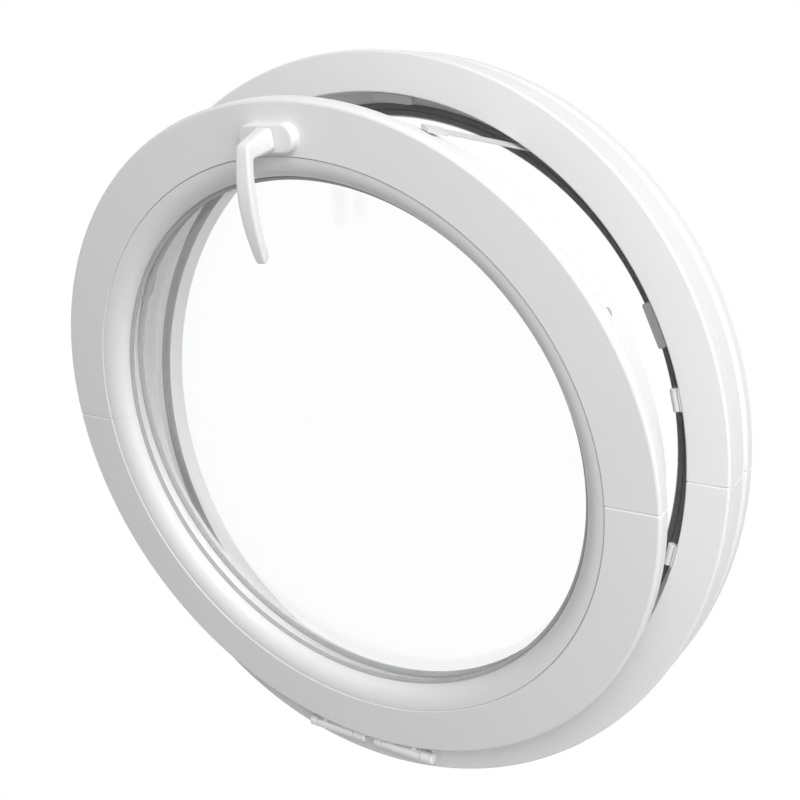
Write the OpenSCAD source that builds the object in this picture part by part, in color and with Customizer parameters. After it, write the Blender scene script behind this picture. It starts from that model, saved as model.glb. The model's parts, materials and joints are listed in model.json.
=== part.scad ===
// Round tilting porthole window: a welded ring frame that is built into a wall, and a bottom-hung
// glazed sash with a lever handle, a curved locking drive and a stay arm. It is shown tilted open.
// The rings are drawn lying down: X to the right, Y up, Z towards the room, with Z = 0 on the
// frame's room-side face. The upright() module then stands everything up.

/* [Frame ring] */
// Outer diameter of the frame
frame_d = 800; // [760:5:1000]
// Width of the frame's room-side face
frame_face_w = 41; // [37:0.5:50]
// Depth of the frame through the wall
frame_depth = 70; // [68:1:84]
// Width of the stop lip, inwards from the rebate wall
stop_w = 25; // [23:0.5:28]
// Thickness of the stop lip
stop_t = 22; // [18:0.5:22]
// Rounding of the frame's outer front edge
frame_edge_r = 3; // [1.5:0.25:5]
// Distance of the fine shadow line from the front face, along the outer wall
line_h = 10; // [7:0.5:14]
// Distance of the add-on groove from the front face, along the outer wall
groove_h = 41; // [32:0.5:44]
// Width of the add-on groove
groove_w = 14; // [8:0.5:16]
// Depth of the add-on groove
groove_d = 3; // [1.5:0.25:5]
// Width of the grooves left at the two welds of each ring
seam_w = 0.6; // [0.3:0.1:1]
// Depth of the weld grooves
seam_d = 0.4; // [0.2:0.1:0.8]

/* [Sash ring] */
// How far the sash covers the frame's face
overlap = 6; // [5:0.25:8]
// Thickness of the sash's covering flange
flange_t = 17; // [15:0.5:20]
// Space between the flange and the frame's face when closed
flange_gap = 3; // [2.5:0.25:4]
// Space between the sash body and the frame's rebate wall
chamber = 12.5; // [12:0.25:14]
// Width of the sash's face, from its rim to the glazing bead
sash_face_w = 53.2; // [52:0.2:58]
// Rounding of the sash's rim
sash_edge_r = 4; // [2:0.25:6]
// Space between the back of the sash and the stop lip when closed
rear_gap = 3; // [2.5:0.25:4]

/* [Glazing] */
// Width of the glazing bead
bead_w = 22.3; // [20:0.1:25]
// Depth of the bead's top below the sash face
bead_drop = 1.25; // [0.5:0.05:2]
// Depth of the bead's inner edge below the sash face
bead_depth = 20; // [18:0.25:22]
// Thickness of each pane
pane_t = 4; // [3:0.5:5]
// Space between the panes
cavity_t = 16; // [13:0.5:16]
// Thickness of each glazing gasket
gasket_t = 3; // [2:0.25:3]
// How far the glazing gaskets reach past the bead
gasket_reach = 2.4; // [1:0.1:4]
// Space round the edge of the glass
glass_play = 5.8; // [4:0.2:7]
// Width of the spacer bar between the panes
spacer_w = 6.5; // [5:0.25:8]
// Width of the sealant outside the spacer bar
sealant_w = 3; // [2:0.25:4]

/* [Hinges] */
// Angle to which the sash is tilted open
tilt = 9.41; // [5:0.01:10.2]
// Diameter of the hinge barrels
barrel_d = 13; // [11:0.5:14]
// Length of the middle barrel on the sash
barrel_l = 52; // [40:1:60]
// Length of the plain frame knuckle
knuckle_l = 10; // [8:0.5:14]
// Length of the capped frame knuckle
end_knuckle_l = 12.4; // [9:0.2:16]
// Length of the end cap
cap_l = 4; // [3:0.25:6]
// Space between the two hinges
hinge_space = 14; // [8:1:40]
// Diameter of the hinge pins
hinge_pin_d = 6; // [5:0.25:7]
// Diameter of the studs that enter the frame and the sash
stud_d = 6; // [5:0.25:8]
// Length of a stud inside the frame
frame_stud_l = 24; // [16:1:30]
// Length of a stud inside the sash
sash_stud_l = 22; // [16:1:30]

/* [Handle] */
// Length of the rosette
rosette_l = 66; // [62:0.5:76]
// Width of the rosette
rosette_w = 29; // [28:0.5:34]
// Height of the rosette
rosette_h = 10; // [9:0.5:13]
// Distance between the handle screws
screw_pitch = 43; // [41:0.5:45]
// Diameter of the handle screws
screw_d = 5; // [4:0.25:5.5]
// Diameter of the neck's shaft, where it passes through the rosette
neck_d = 15; // [14.5:0.25:18]
// Diameter of the neck where it stands over the rosette
neck_base_d = 23; // [20:0.25:27]
// Angle at which the neck leans down towards the lever
neck_lean = 12; // [8:0.5:15]
// Height of the lever's middle line above the sash face at the neck
lever_h = 39; // [34:0.5:44]
// Height of the lever's middle line above the sash face at its tip
lever_tip_h = 39.5; // [30:0.5:44]
// Length of the lever below the handle's axis
lever_l = 107; // [95:1:130]
// How far the lever bows outwards
lever_bow = 8.25; // [5:0.25:11]
// Thickness of the lever at the neck
lever_t = 9.2; // [8:0.2:12]
// Greatest width of the lever, a little above its middle
lever_w = 17.25; // [15:0.25:19]
// Width of the square spindle
spindle_w = 7; // [6:0.25:7.5]

/* [Locking drive] */
// Distance of the handle's axis from the outer rim of the sash
handle_inset = 35; // [34.5:0.25:36]
// Size of a tooth: pitch diameter divided by the number of teeth
tooth_size = 1.9; // [1.85:0.01:1.95]
// Width of the faceplate
plate_w = 16; // [15:0.5:18]
// Thickness of the faceplate
plate_t = 2.8; // [2.4:0.1:3.2]
// Width of the drive rod
rod_w = 12; // [11:0.25:13]
// Diameter of the locking cams
cam_d = 10; // [9:0.25:11]
// Diameter of the stems of the locking cams
cam_stem_d = 6; // [5:0.25:7]
// Length of a keep along the ring
keep_l = 44; // [38:0.5:50]
// Space between an unlocked cam and the end of its keep
cam_space = 3; // [2:0.25:5]
// Angle of the right keep, counted from the horizontal
keep_right_a = 24; // [20:0.5:30]
// Angle of the top keep
keep_top_a = 82.5; // [81:0.25:83]

/* [Guide buffers] */
// Diameter of a guide buffer
buffer_d = 8; // [6.5:0.25:8.5]
// Length of a guide buffer
buffer_l = 22; // [16:0.5:30]
// Angle of a guide buffer above or below the horizontal
buffer_a = 12.4; // [9:0.1:14]

/* [Stay] */
// How much longer the stay arm is than the way that the sash opens beside it
stay_spare = 19.5; // [12:0.5:24]
// Width of the stay arm
stay_w = 12; // [10:0.5:13]
// Thickness of the stay arm
stay_t = 2; // [1.6:0.1:2.2]
// Angle of the middle of the closed stay arm
stay_a = 67.2; // [62:0.1:67.2]
// Diameter of the stay's pivot pin
stay_pin_d = 6; // [5:0.25:7]

/* [Hidden] */
$fn = 128;
// Overrun of every cut past the surface it opens
over = 1;
// Clearances: seated pieces, running pins and pieces of different bodies
seat = 0.15;
running = 0.05;
apart = 0.3;
// Steps of a rounded corner, of the bead's curve and of the lever's bow
corner_steps = 5;
bead_steps = 14;
lever_steps = 16;
// Steps round the rebate wall where a foot is shaped to it
wall_steps = 1440;

// Frame ring radii and levels
r_out = frame_d / 2;
r_reb = r_out - frame_face_w;
r_stop = r_reb - stop_w;
h_back = -frame_depth;
h_stop = h_back + stop_t;
line_w = 1;
line_d = 0.6;
groove_slope = 1;
inner_edge_r = 1.5;
frame_chamfer = 1.5;
stop_chamfer = 4;
// The plain band of the outer wall that the wall's opening holds, and its middle
band_top = -line_h - line_w;
band_low = -groove_h;
h_ref = (band_top + band_low) / 2;

// Sash ring radii and levels, closed
r_rim = r_reb + overlap;
r_body = r_reb - chamber;
r_gl = r_rim - sash_face_w;
r_bead = r_gl - bead_w;
h_face = flange_gap + flange_t;
h_rear = h_stop + rear_gap;
h_nose = h_face - bead_depth;
h_in = h_nose - gasket_t;
h_out = h_in - 2 * pane_t - cavity_t;
h_lip = h_out - gasket_t;
r_lip = r_bead + inner_edge_r;
lip_slope = 14;
face_edge_r = 1.2;
body_chamfer = 1;

// Seals
sash_seal_w = 3;
sash_seal_root = 2;
sash_seal_r = (r_reb + r_rim) / 2;
frame_seal_w = 12;
frame_seal_inset = 1.5;
frame_seal_root_w = 4;
frame_seal_root = 4;
frame_seal_edge = 0.8;
frame_seal_t = rear_gap - apart;
frame_seal_r = r_stop + frame_seal_inset + frame_seal_w / 2;

// Glass, gaskets and the bead's clip
r_glass = r_gl - glass_play;
r_spacer = r_glass - sealant_w;
gasket_w = 8;
gasket_lip_t = 1;
block_a = 25;
block_span_a = 7;
joint_gap = 0.3;
clip_share = 0.28;
clip_h = clip_share * bead_depth;
clip_t = 3;
clip_d = 2.4;
clip_slope = 0.4;

// Hinge axis, and where each hinge starts
barrel_r = barrel_d / 2;
hinge_rim_gap = 1.5;
hinge_y = -(r_rim + hinge_rim_gap + barrel_r);
hinge_h = flange_gap + flange_t / 2;
hinge_l = knuckle_l + barrel_l + end_knuckle_l + 2 * apart + cap_l;
hinge_right_x = hinge_space / 2;
hinge_left_x = -hinge_space / 2 - hinge_l;
hinge_pin_inset = 0.8;
cap_chamfer = 1.5;
stud_shares = [0.2, 0.8];

// Hardware groove round the sash body
rod_depth = 11;
h_rod = -rod_depth;
rod_t = 4.05;
plate_seat = 0.1;
groove_room = 4;
r_plate = r_body - plate_seat;
r_rod = r_plate - plate_t - apart;
r_rod_in = r_rod - rod_t;
groove_floor = r_rod_in - groove_room;
rod_ends_a = [19, 166];
plate_ends_a = [12, 171];

// Pinion and the toothed part of the rod
handle_r = r_rim - handle_inset;
tooth_add = 1.2;
tooth_clear = 0.35;
tooth_ded = tooth_add + tooth_clear;
tooth_backlash = 0.4;
tooth_flank_a = 20;
tooth_tip_share = 0.6;
r_rack = r_rod_in + tooth_add;
pinion_r = r_rack - handle_r;
pinion_teeth = round(2 * pinion_r / tooth_size);
tooth_pitch = 2 * PI * pinion_r / pinion_teeth;
rack_step_a = tooth_pitch / r_rack * 180 / PI;
rack_gaps = [-1, 4];
rod_turn = 90 * pinion_r / r_rack;
pinion_w = 9;
pinion_room = 0.4;
hub_d = 12;
hub_room = 0.5;
case_w = 54;
case_depth = 16;
case_low = 13.5;
case_play = 0.25;
case_top = sqrt(pow(groove_floor, 2) - pow(case_w / 2, 2)) - case_play;

// Cams and keeps
keep_foot_t = 2;
keep_front = 1.5;
keep_gap = 3.5;
keep_foot_h = 25.5;
keep_corner_r = 2;
keep_low = r_body + keep_gap;
keep_back = h_rod + cam_d / 2 + apart;
keep_angles = [keep_right_a, keep_top_a, 180 - keep_right_a];
cam_play = 0.4;
cam_tip = r_reb - keep_foot_t - cam_play;
cam_lead_a = asin((keep_l / 2 + cam_d / 2 + cam_space) / r_body);
cam_angles = [for (a = keep_angles) a + cam_lead_a];
keep_screw_d = 3.5;
keep_head_t = 1.5;
keep_screw_l = 16;
keep_screw_pitch = 28;
keep_screw_depth = 21;
keep_screw_h = -keep_screw_depth;
plate_screw_d = 3.5;
plate_head_t = 1.45;
plate_screw_l = 18;
plate_screw_angles = [14.5, 48, 132, 168.5];
rod_slot_angles = [48, 132];

// Guide buffers
buffer_stand = 5.6;
buffer_front = 0.5;
buffer_r = r_reb - buffer_stand;
buffer_h = -buffer_d / 2 - buffer_front;
buffer_chamfer = 0.8;
buffer_bore_d = 4.4;
buffer_bore_l = 6;
buffer_foot_t = 1.6;
buffer_foot_h = 16;
buffer_web_w = 3;

// Handle
cover_t = 1.4;
rosette_round_r = 3;
base_h = 7;
base_play = 0.15;
spigot_d = 13;
spigot_low = 0.5;
spindle_top = 24;
screw_head_d = 9;
screw_head_h = 3;
screw_hold = 6;
lever_taper_share = 0.08;
lever_belly_share = 0.4;
lever_narrow_share = 1.12;
knee_r = 3;
tip_cut = 4;
neck_low = rosette_h + apart;
neck_top_d = 2 * lever_side_x(0) - 2 * apart;

// Stay arm: closed it lies in the chamber, in a plane square to the ring's radius at stay_a
stay_inset = 1;
stay_over = 4;
shoe_t = 0.9;
shoe_top_t = 0.6;
shoe_wall = 1;
shoe_back = 20;
shoe_over = 2;
stay_corner_r = 3;
pin_head_t = 1;
pin_head_d = 10;
pin_shoulder_d = 9;
pin_hold = 18;
stay_h = h_rear + stay_w / 2 + shoe_wall + stay_inset;
stay_y = (r_body + r_reb) / 2 * sin(stay_a) - hinge_y;
stay_rise = stay_y * sin(tilt) - (hinge_h - stay_h) * (cos(tilt) - 1);
stay_l = stay_rise + stay_spare;
stay_swing = asin(stay_rise / stay_l);
stay_plane = sqrt(pow(r_reb - apart, 2) - pow((stay_l + stay_w) / 2, 2)) - stay_t / 2;

// Points along an arc about [x, y], from one angle to another
function arc(x, y, r, from, to, steps = corner_steps) = [
    for (i = [0 : steps])
        let (a = from + (to - from) * i / steps)
        [x + r * cos(a), y + r * sin(a)]
];

// Stands the rings up, with the origin on their axis at the middle of the mounting band
module upright() {
    rotate([90, 0, 0])
        translate([0, 0, -h_ref])
            children();
}

// Puts a piece of the sash, drawn closed, where the sash is tilted open
module tilted() {
    upright()
        translate([0, hinge_y, hinge_h])
            rotate([tilt, 0, 0])
                translate([0, -hinge_y, -hinge_h])
                    children();
}

// Places its children at the handle's axis, on the face of the open sash
module at_handle() {
    tilted()
        translate([0, handle_r, h_face])
            children();
}

// Places its children at the stay's pivot: X away from the sash, Y along the closed arm, Z to the room
module at_stay_pivot() {
    rotate([0, 0, stay_a])
        translate([stay_plane, -stay_l / 2, stay_h])
            children();
}

// Places its children on the stay arm, swung out to meet the open sash
module on_stay() {
    upright()
        at_stay_pivot()
            rotate([stay_swing, 0, 0])
                children();
}

// A stretch of a ring, from angle a0 to a1, between two radii and two levels
module sector(r0, r1, h0, h1, a0, a1) {
    rotate([0, 0, a0])
        rotate_extrude(angle = a1 - a0)
            translate([r0, h0])
                square([r1 - r0, h1 - h0]);
}

// A full ring between two radii and two levels
module band(r0, r1, h0, h1) {
    rotate_extrude()
        translate([r0, h0])
            square([r1 - r0, h1 - h0]);
}

// A full disc between two levels
module disc(r, h0, h1) {
    translate([0, 0, h0])
        cylinder(h = h1 - h0, r = r);
}

// Lays a cylinder or cone along the radius at angle a, from radius r0 to r1, at level h
module spoke(r0, r1, d, a, h, along = 0, d_end = 0) {
    rotate([0, 0, a])
        translate([r0, along, h])
            rotate([0, 90, 0])
                cylinder(h = r1 - r0, d1 = d, d2 = d_end == 0 ? d : d_end);
}

// Shallow grooves at the two welds: across the face, and down the outer wall
module weld_cuts(r0, r1, h_top, h_low) {
    for (side = [0, 180])
        rotate([0, 0, side]) {
            translate([r0 - over, -seam_w / 2, h_top - seam_d])
                cube([r1 - r0 + over, seam_w, seam_d + over]);
            translate([r1 - seam_d, -seam_w / 2, h_low - over])
                cube([seam_d + over, seam_w, h_top - h_low + 2 * over]);
        }
}

// Section of the frame: face, outer wall with its line and groove, stop lip and rebate
module frame_section() {
    polygon(concat(
        arc(r_reb + inner_edge_r, -inner_edge_r, inner_edge_r, 180, 90),
        arc(r_out - frame_edge_r, -frame_edge_r, frame_edge_r, 90, 0),
        [
            [r_out, -line_h],
            [r_out - line_d, -line_h],
            [r_out - line_d, -line_h - line_w],
            [r_out, -line_h - line_w],
            [r_out, -groove_h],
            [r_out - groove_d, -groove_h - groove_slope],
            [r_out - groove_d, -groove_h - groove_w + groove_slope],
            [r_out, -groove_h - groove_w],
            [r_out, h_back + frame_chamfer],
            [r_out - frame_chamfer, h_back],
            [r_stop + stop_chamfer, h_back],
            [r_stop, h_back + stop_chamfer],
            [r_stop, h_stop - inner_edge_r],
            [r_stop + inner_edge_r, h_stop],
            [frame_seal_r - frame_seal_root_w / 2, h_stop],
            [frame_seal_r - frame_seal_root_w / 2, h_stop - frame_seal_root],
            [frame_seal_r + frame_seal_root_w / 2, h_stop - frame_seal_root],
            [frame_seal_r + frame_seal_root_w / 2, h_stop],
            [r_reb, h_stop]
        ]
    ));
}

// Middles of the frame's four hinge knuckles
function knuckle_middles() = [
    for (x = [hinge_left_x, hinge_right_x])
        for (m = [knuckle_l / 2, knuckle_l + barrel_l + 2 * apart + end_knuckle_l / 2])
            x + m
];

// Middles of the four studs that enter the sash
function barrel_studs() = [
    for (x = [hinge_left_x, hinge_right_x])
        for (share = stud_shares)
            x + knuckle_l + apart + share * barrel_l
];

module frame_ring() {
    color("white")
        upright()
            difference() {
                rotate_extrude()
                    frame_section();
                weld_cuts(r_reb, r_out, 0, h_back);
                for (x = knuckle_middles())
                    translate([x, hinge_y, -frame_stud_l - apart])
                        cylinder(h = frame_stud_l + apart + over, d = stud_d + 2 * running);
                for (a = keep_angles)
                    keep_screw_holes(a);
                at_stay_pivot()
                    rotate([0, 90, 0])
                        cylinder(h = pin_hold + apart, d = stay_pin_d + 2 * running);
            }
}

// Screw holes of a keep, through its foot and into the rebate wall
module keep_screw_holes(a) {
    for (along = [-keep_screw_pitch / 2, keep_screw_pitch / 2])
        spoke(keep_low, r_reb + keep_screw_l, keep_screw_d + 2 * running, a, keep_screw_h, along);
}

// Soft seal on the stop lip: a root in its groove and a broad pad with bevelled edges
module frame_seal() {
    root = frame_seal_root_w / 2 - seat;
    half = frame_seal_w / 2;
    top = h_stop + frame_seal_t;
    color("dimgray")
        upright()
            rotate_extrude()
                polygon([
                    [frame_seal_r - root, h_stop - frame_seal_root + seat],
                    [frame_seal_r + root, h_stop - frame_seal_root + seat],
                    [frame_seal_r + root, h_stop],
                    [frame_seal_r + half, h_stop],
                    [frame_seal_r + half, top - frame_seal_edge],
                    [frame_seal_r + half - frame_seal_edge, top],
                    [frame_seal_r - half + frame_seal_edge, top],
                    [frame_seal_r - half, top - frame_seal_edge],
                    [frame_seal_r - half, h_stop],
                    [frame_seal_r - root, h_stop]
                ]);
}

// Outline of a keep's lip seen from the room, with rounded inner corners
module keep_lip_outline() {
    c = keep_corner_r;
    polygon(concat(
        [[r_reb, -keep_l / 2], [r_reb, keep_l / 2]],
        arc(keep_low + c, keep_l / 2 - c, c, 90, 180),
        arc(keep_low + c, -keep_l / 2 + c, c, 180, 270)
    ));
}

// Keep: a foot on the rebate wall and a lip that a cam slides behind
module keep(a) {
    foot_low = -keep_front - keep_foot_h;
    color("darkgray")
        upright()
            difference() {
                intersection() {
                    rotate([0, 0, a])
                        union() {
                            translate([0, 0, keep_back])
                                linear_extrude(-keep_front - keep_back)
                                    keep_lip_outline();
                            translate([r_reb - keep_foot_t, -keep_l / 2, foot_low])
                                cube([keep_foot_t, keep_l, keep_foot_h]);
                        }
                    disc(r_reb - running, foot_low - over, 0, $fn = wall_steps);
                }
                for (along = [-keep_screw_pitch / 2, keep_screw_pitch / 2]) {
                    spoke(r_reb - keep_foot_t - over, r_reb + over, keep_screw_d + 2 * running, a,
                          keep_screw_h, along);
                    spoke(r_reb - keep_foot_t - over, r_reb - keep_foot_t + keep_head_t,
                          keep_screw_d + 2 * (running + keep_head_t + over), a, keep_screw_h, along,
                          keep_screw_d + 2 * running);
                }
            }
}

module keep_right() {
    keep(keep_right_a);
}

module keep_top() {
    keep(keep_top_a);
}

module keep_left() {
    keep(180 - keep_right_a);
}

// Countersunk screws of the keeps, two for each
module keep_screws() {
    start = r_reb - keep_foot_t + seat;
    cone = keep_head_t - 2 * seat;
    color("silver")
        upright()
            for (a = keep_angles)
                for (along = [-keep_screw_pitch / 2, keep_screw_pitch / 2]) {
                    spoke(start, r_reb + keep_screw_l - apart, keep_screw_d, a, keep_screw_h, along);
                    spoke(start, start + cone, keep_screw_d + 2 * cone, a, keep_screw_h, along, keep_screw_d);
                }
}

// Guide buffer: a barrel along the ring, blind-bored at one end, on a web and a foot against the wall
module guide_buffer(a, bore_side) {
    half = buffer_l / 2;
    difference() {
        union() {
            rotate([0, 0, a])
                translate([buffer_r, 0, buffer_h])
                    rotate([90, 0, 0])
                        rotate_extrude()
                            polygon([
                                [0, -half],
                                [buffer_d / 2 - buffer_chamfer, -half],
                                [buffer_d / 2, buffer_chamfer - half],
                                [buffer_d / 2, half - buffer_chamfer],
                                [buffer_d / 2 - buffer_chamfer, half],
                                [0, half]
                            ]);
            intersection() {
                rotate([0, 0, a])
                    union() {
                        translate([buffer_r, -half + buffer_chamfer, buffer_h - buffer_web_w / 2])
                            cube([buffer_stand, buffer_l - 2 * buffer_chamfer, buffer_web_w]);
                        translate([r_reb - buffer_foot_t, -half, buffer_h + buffer_d / 2 - buffer_foot_h])
                            cube([buffer_foot_t, buffer_l, buffer_foot_h]);
                    }
                disc(r_reb - running, h_stop, 0, $fn = wall_steps);
            }
        }
        rotate([0, 0, a])
            translate([buffer_r, bore_side * (half + over), buffer_h])
                rotate([bore_side * 90, 0, 0])
                    cylinder(h = buffer_bore_l + over, d = buffer_bore_d);
    }
}

module guide_buffers_right() {
    color("gainsboro")
        upright() {
            guide_buffer(buffer_a, 1);
            guide_buffer(-buffer_a, -1);
        }
}

module guide_buffers_left() {
    color("gainsboro")
        upright() {
            guide_buffer(180 - buffer_a, -1);
            guide_buffer(180 + buffer_a, 1);
        }
}

// Shouldered pivot pin of the stay: shank in the frame, shoulder on the wall, head under the arm
module stay_pin() {
    low = -stay_t / 2 - apart - pin_head_t;
    color("silver")
        upright() {
            at_stay_pivot()
                rotate([0, 90, 0]) {
                    translate([0, 0, low])
                        cylinder(h = pin_head_t, d = pin_head_d);
                    translate([0, 0, low])
                        cylinder(h = pin_hold - low, d = stay_pin_d);
                }
            intersection() {
                at_stay_pivot()
                    translate([stay_t / 2 + apart, 0, 0])
                        rotate([0, 90, 0])
                            cylinder(h = chamber, d = pin_shoulder_d);
                disc(r_reb - running, h_stop, 0, $fn = wall_steps);
            }
        }
}

// A tube along a hinge's axis, or with a smaller diameter its bore
module hinge_tube(x, l, d) {
    translate([x, hinge_y, hinge_h])
        rotate([0, 90, 0])
            cylinder(h = l, d = d);
}

// One hinge: the two knuckles that stand on studs in the frame's face
module hinge_knuckles(x) {
    color("whitesmoke")
        upright()
            for (k = [[x, knuckle_l], [x + knuckle_l + barrel_l + 2 * apart, end_knuckle_l]])
                difference() {
                    union() {
                        hinge_tube(k[0], k[1], barrel_d);
                        translate([k[0] + k[1] / 2, hinge_y, -frame_stud_l])
                            cylinder(h = frame_stud_l + hinge_h, d = stud_d);
                    }
                    hinge_tube(k[0] - over, k[1] + 2 * over, hinge_pin_d + 2 * running);
                }
}

module hinge_pin(x) {
    color("silver")
        upright()
            hinge_tube(x + hinge_pin_inset, hinge_l - cap_l - hinge_pin_inset, hinge_pin_d);
}

// Round cap with a bevelled end
module hinge_cap(x) {
    color("whitesmoke")
        upright()
            translate([x + hinge_l - cap_l, hinge_y, hinge_h])
                rotate([0, 90, 0])
                    rotate_extrude()
                        polygon([
                            [0, 0],
                            [barrel_r, 0],
                            [barrel_r, cap_l - cap_chamfer],
                            [barrel_r - cap_chamfer, cap_l],
                            [0, cap_l]
                        ]);
}

// The middle barrel of a hinge, with the studs that enter the sash's rim
module hinge_barrel(x) {
    start = x + knuckle_l + apart;
    color("whitesmoke")
        tilted()
            difference() {
                union() {
                    hinge_tube(start, barrel_l, barrel_d);
                    for (share = stud_shares)
                        translate([start + share * barrel_l, hinge_y, hinge_h])
                            rotate([-90, 0, 0])
                                cylinder(h = -hinge_y - r_rim + sash_stud_l, d = stud_d);
                }
                hinge_tube(start - over, barrel_l + 2 * over, hinge_pin_d + 2 * running);
            }
}

module hinge_left_knuckles() {
    hinge_knuckles(hinge_left_x);
}

module hinge_left_pin() {
    hinge_pin(hinge_left_x);
}

module hinge_left_cap() {
    hinge_cap(hinge_left_x);
}

module hinge_left_barrel() {
    hinge_barrel(hinge_left_x);
}

module hinge_right_knuckles() {
    hinge_knuckles(hinge_right_x);
}

module hinge_right_pin() {
    hinge_pin(hinge_right_x);
}

module hinge_right_cap() {
    hinge_cap(hinge_right_x);
}

module hinge_right_barrel() {
    hinge_barrel(hinge_right_x);
}

// Section of the sash: face, rim, covering flange, hardware groove, outer lip and glazing rebate
module sash_section() {
    seal_half = sash_seal_w / 2;
    ledge = r_plate - plate_t;
    plate_half = plate_w / 2 + seat;
    rod_half = rod_w / 2 + apart;
    clip_low = h_nose + clip_h;
    polygon(concat(
        arc(r_gl + face_edge_r, h_face - face_edge_r, face_edge_r, 180, 90),
        arc(r_rim - sash_edge_r, h_face - sash_edge_r, sash_edge_r, 90, 0),
        [
            [r_rim, flange_gap + face_edge_r],
            [r_rim - face_edge_r, flange_gap],
            [sash_seal_r + seal_half, flange_gap],
            [sash_seal_r + seal_half, flange_gap + sash_seal_root],
            [sash_seal_r - seal_half, flange_gap + sash_seal_root],
            [sash_seal_r - seal_half, flange_gap],
            [r_body, flange_gap],
            [r_body, h_rod + plate_half],
            [ledge, h_rod + plate_half],
            [ledge, h_rod + rod_half],
            [groove_floor, h_rod + rod_half],
            [groove_floor, h_rod - rod_half],
            [ledge, h_rod - rod_half],
            [ledge, h_rod - plate_half],
            [r_body, h_rod - plate_half],
            [r_body, h_rear + body_chamfer],
            [r_body - body_chamfer, h_rear],
            [r_lip + lip_slope, h_rear],
            [r_lip, h_rear + lip_slope],
            [r_lip, h_lip],
            [r_gl, h_lip],
            [r_gl, clip_low],
            [r_gl + clip_d + seat, clip_low + clip_slope],
            [r_gl + clip_d + seat, clip_low + clip_t - clip_slope],
            [r_gl, clip_low + clip_t]
        ]
    ));
}

module sash_ring() {
    color("white")
        difference() {
            tilted()
                rotate_extrude()
                    sash_section();
            tilted()
                weld_cuts(r_gl, r_rim, h_face, flange_gap);
            tilted()
                for (x = barrel_studs())
                    translate([x, -r_rim - over, hinge_h])
                        rotate([-90, 0, 0])
                            cylinder(h = sash_stud_l + over + apart, d = stud_d + 2 * running);
            at_handle()
                mirror([0, 0, 1])
                    translate([0, 0, -over]) {
                        cylinder(h = h_face - h_rod + over, d = hub_d + 2 * hub_room);
                        for (x = [-screw_pitch / 2, screw_pitch / 2])
                            translate([x, 0, 0])
                                cylinder(h = h_face - h_rod + over, d = screw_d + 2 * seat);
                    }
            tilted() {
                translate([-case_w / 2 - case_play, handle_r - case_low - case_play,
                           h_rod - case_depth / 2 - case_play])
                    cube([case_w + 2 * case_play, groove_floor + over - handle_r + case_low,
                          case_depth + 2 * case_play]);
                for (a = plate_screw_angles)
                    spoke(r_plate - plate_screw_l - apart, r_body, plate_screw_d + 2 * running, a, h_rod);
            }
        }
}

// Soft seal under the covering flange
module sash_seal() {
    half = sash_seal_w / 2 - seat;
    color("lightgray")
        tilted()
            band(sash_seal_r - half, sash_seal_r + half, apart, flange_gap + sash_seal_root - seat);
}

// Section of the glazing bead: a quarter-round from the sash's face down to the glass, with a clip
module bead_section() {
    rise = bead_depth - bead_drop;
    top = r_gl - seat;
    clip_low = h_nose + clip_h + seat;
    clip_top = h_nose + clip_h + clip_t - seat;
    polygon(concat(
        [
            for (i = [0 : bead_steps])
                let (a = 90 * i / bead_steps)
                [top - (top - r_bead) * sin(a), h_nose + rise * cos(a)]
        ],
        [
            [top, h_nose],
            [top, clip_low],
            [r_gl + clip_d, clip_low + clip_slope],
            [r_gl + clip_d, clip_top - clip_slope],
            [top, clip_top]
        ]
    ));
}

// Half a turn of glazing bead, starting at an angle
module bead(start) {
    gap_a = asin(joint_gap / 2 / r_bead);
    color("white")
        tilted()
            rotate([0, 0, start + gap_a])
                rotate_extrude(angle = 180 - 2 * gap_a)
                    bead_section();
}

module bead_upper() {
    bead(0);
}

module bead_lower() {
    bead(180);
}

module pane_inner() {
    color("lightcyan", 0.3)
        tilted()
            disc(r_glass, h_in - pane_t, h_in);
}

module pane_outer() {
    color("lightcyan", 0.3)
        tilted()
            disc(r_glass, h_out, h_out + pane_t);
}

module spacer_bar() {
    color("darkgray")
        tilted()
            band(r_spacer - spacer_w, r_spacer, h_out + pane_t, h_in - pane_t);
}

module edge_sealant() {
    color("gray")
        tilted()
            band(r_spacer + running, r_glass, h_out + pane_t, h_in - pane_t);
}

// Section of a gasket between a nose at radius r and the glass, with a thin lip along the glass
module gasket_section(r, h_glass, h_nose_side) {
    side = h_nose_side > h_glass ? 1 : -1;
    polygon([
        [r - gasket_reach, h_glass],
        [r + gasket_w, h_glass],
        [r + gasket_w, h_nose_side],
        [r, h_nose_side],
        [r - gasket_reach, h_glass + side * gasket_lip_t]
    ]);
}

module gasket_inner() {
    color("gray")
        tilted()
            rotate_extrude()
                gasket_section(r_bead, h_in, h_nose);
}

module gasket_outer() {
    color("gray")
        tilted()
            rotate_extrude()
                gasket_section(r_lip, h_out, h_lip);
}

// Blocks that centre the glass in the sash
module setting_blocks() {
    color("slategray")
        tilted()
            for (middle = [90 - block_a, 90 + block_a, 270 - block_a, 270 + block_a])
                sector(r_glass + running, r_gl - seat, h_out, h_in, middle - block_span_a / 2,
                       middle + block_span_a / 2);
}

// Curved faceplate over the drive rod, with a slot for each cam and countersunk screw holes
module faceplate() {
    slot_half = cam_stem_d / 2 + apart;
    slot_a = asin(slot_half / r_plate);
    color("silver")
        tilted()
            difference() {
                sector(r_plate - plate_t, r_plate, h_rod - plate_w / 2, h_rod + plate_w / 2,
                       plate_ends_a[0], plate_ends_a[1]);
                for (a = cam_angles)
                    sector(r_plate - plate_t - over, r_plate + over, h_rod - slot_half, h_rod + slot_half,
                           a - rod_turn - slot_a, a + slot_a);
                for (a = plate_screw_angles) {
                    spoke(r_plate - plate_t - over, r_plate + over, plate_screw_d + 2 * running, a, h_rod);
                    spoke(r_plate - plate_head_t, r_plate + over, plate_screw_d + 2 * running, a, h_rod, 0,
                          plate_screw_d + 2 * (running + plate_head_t + over));
                }
            }
}

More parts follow.
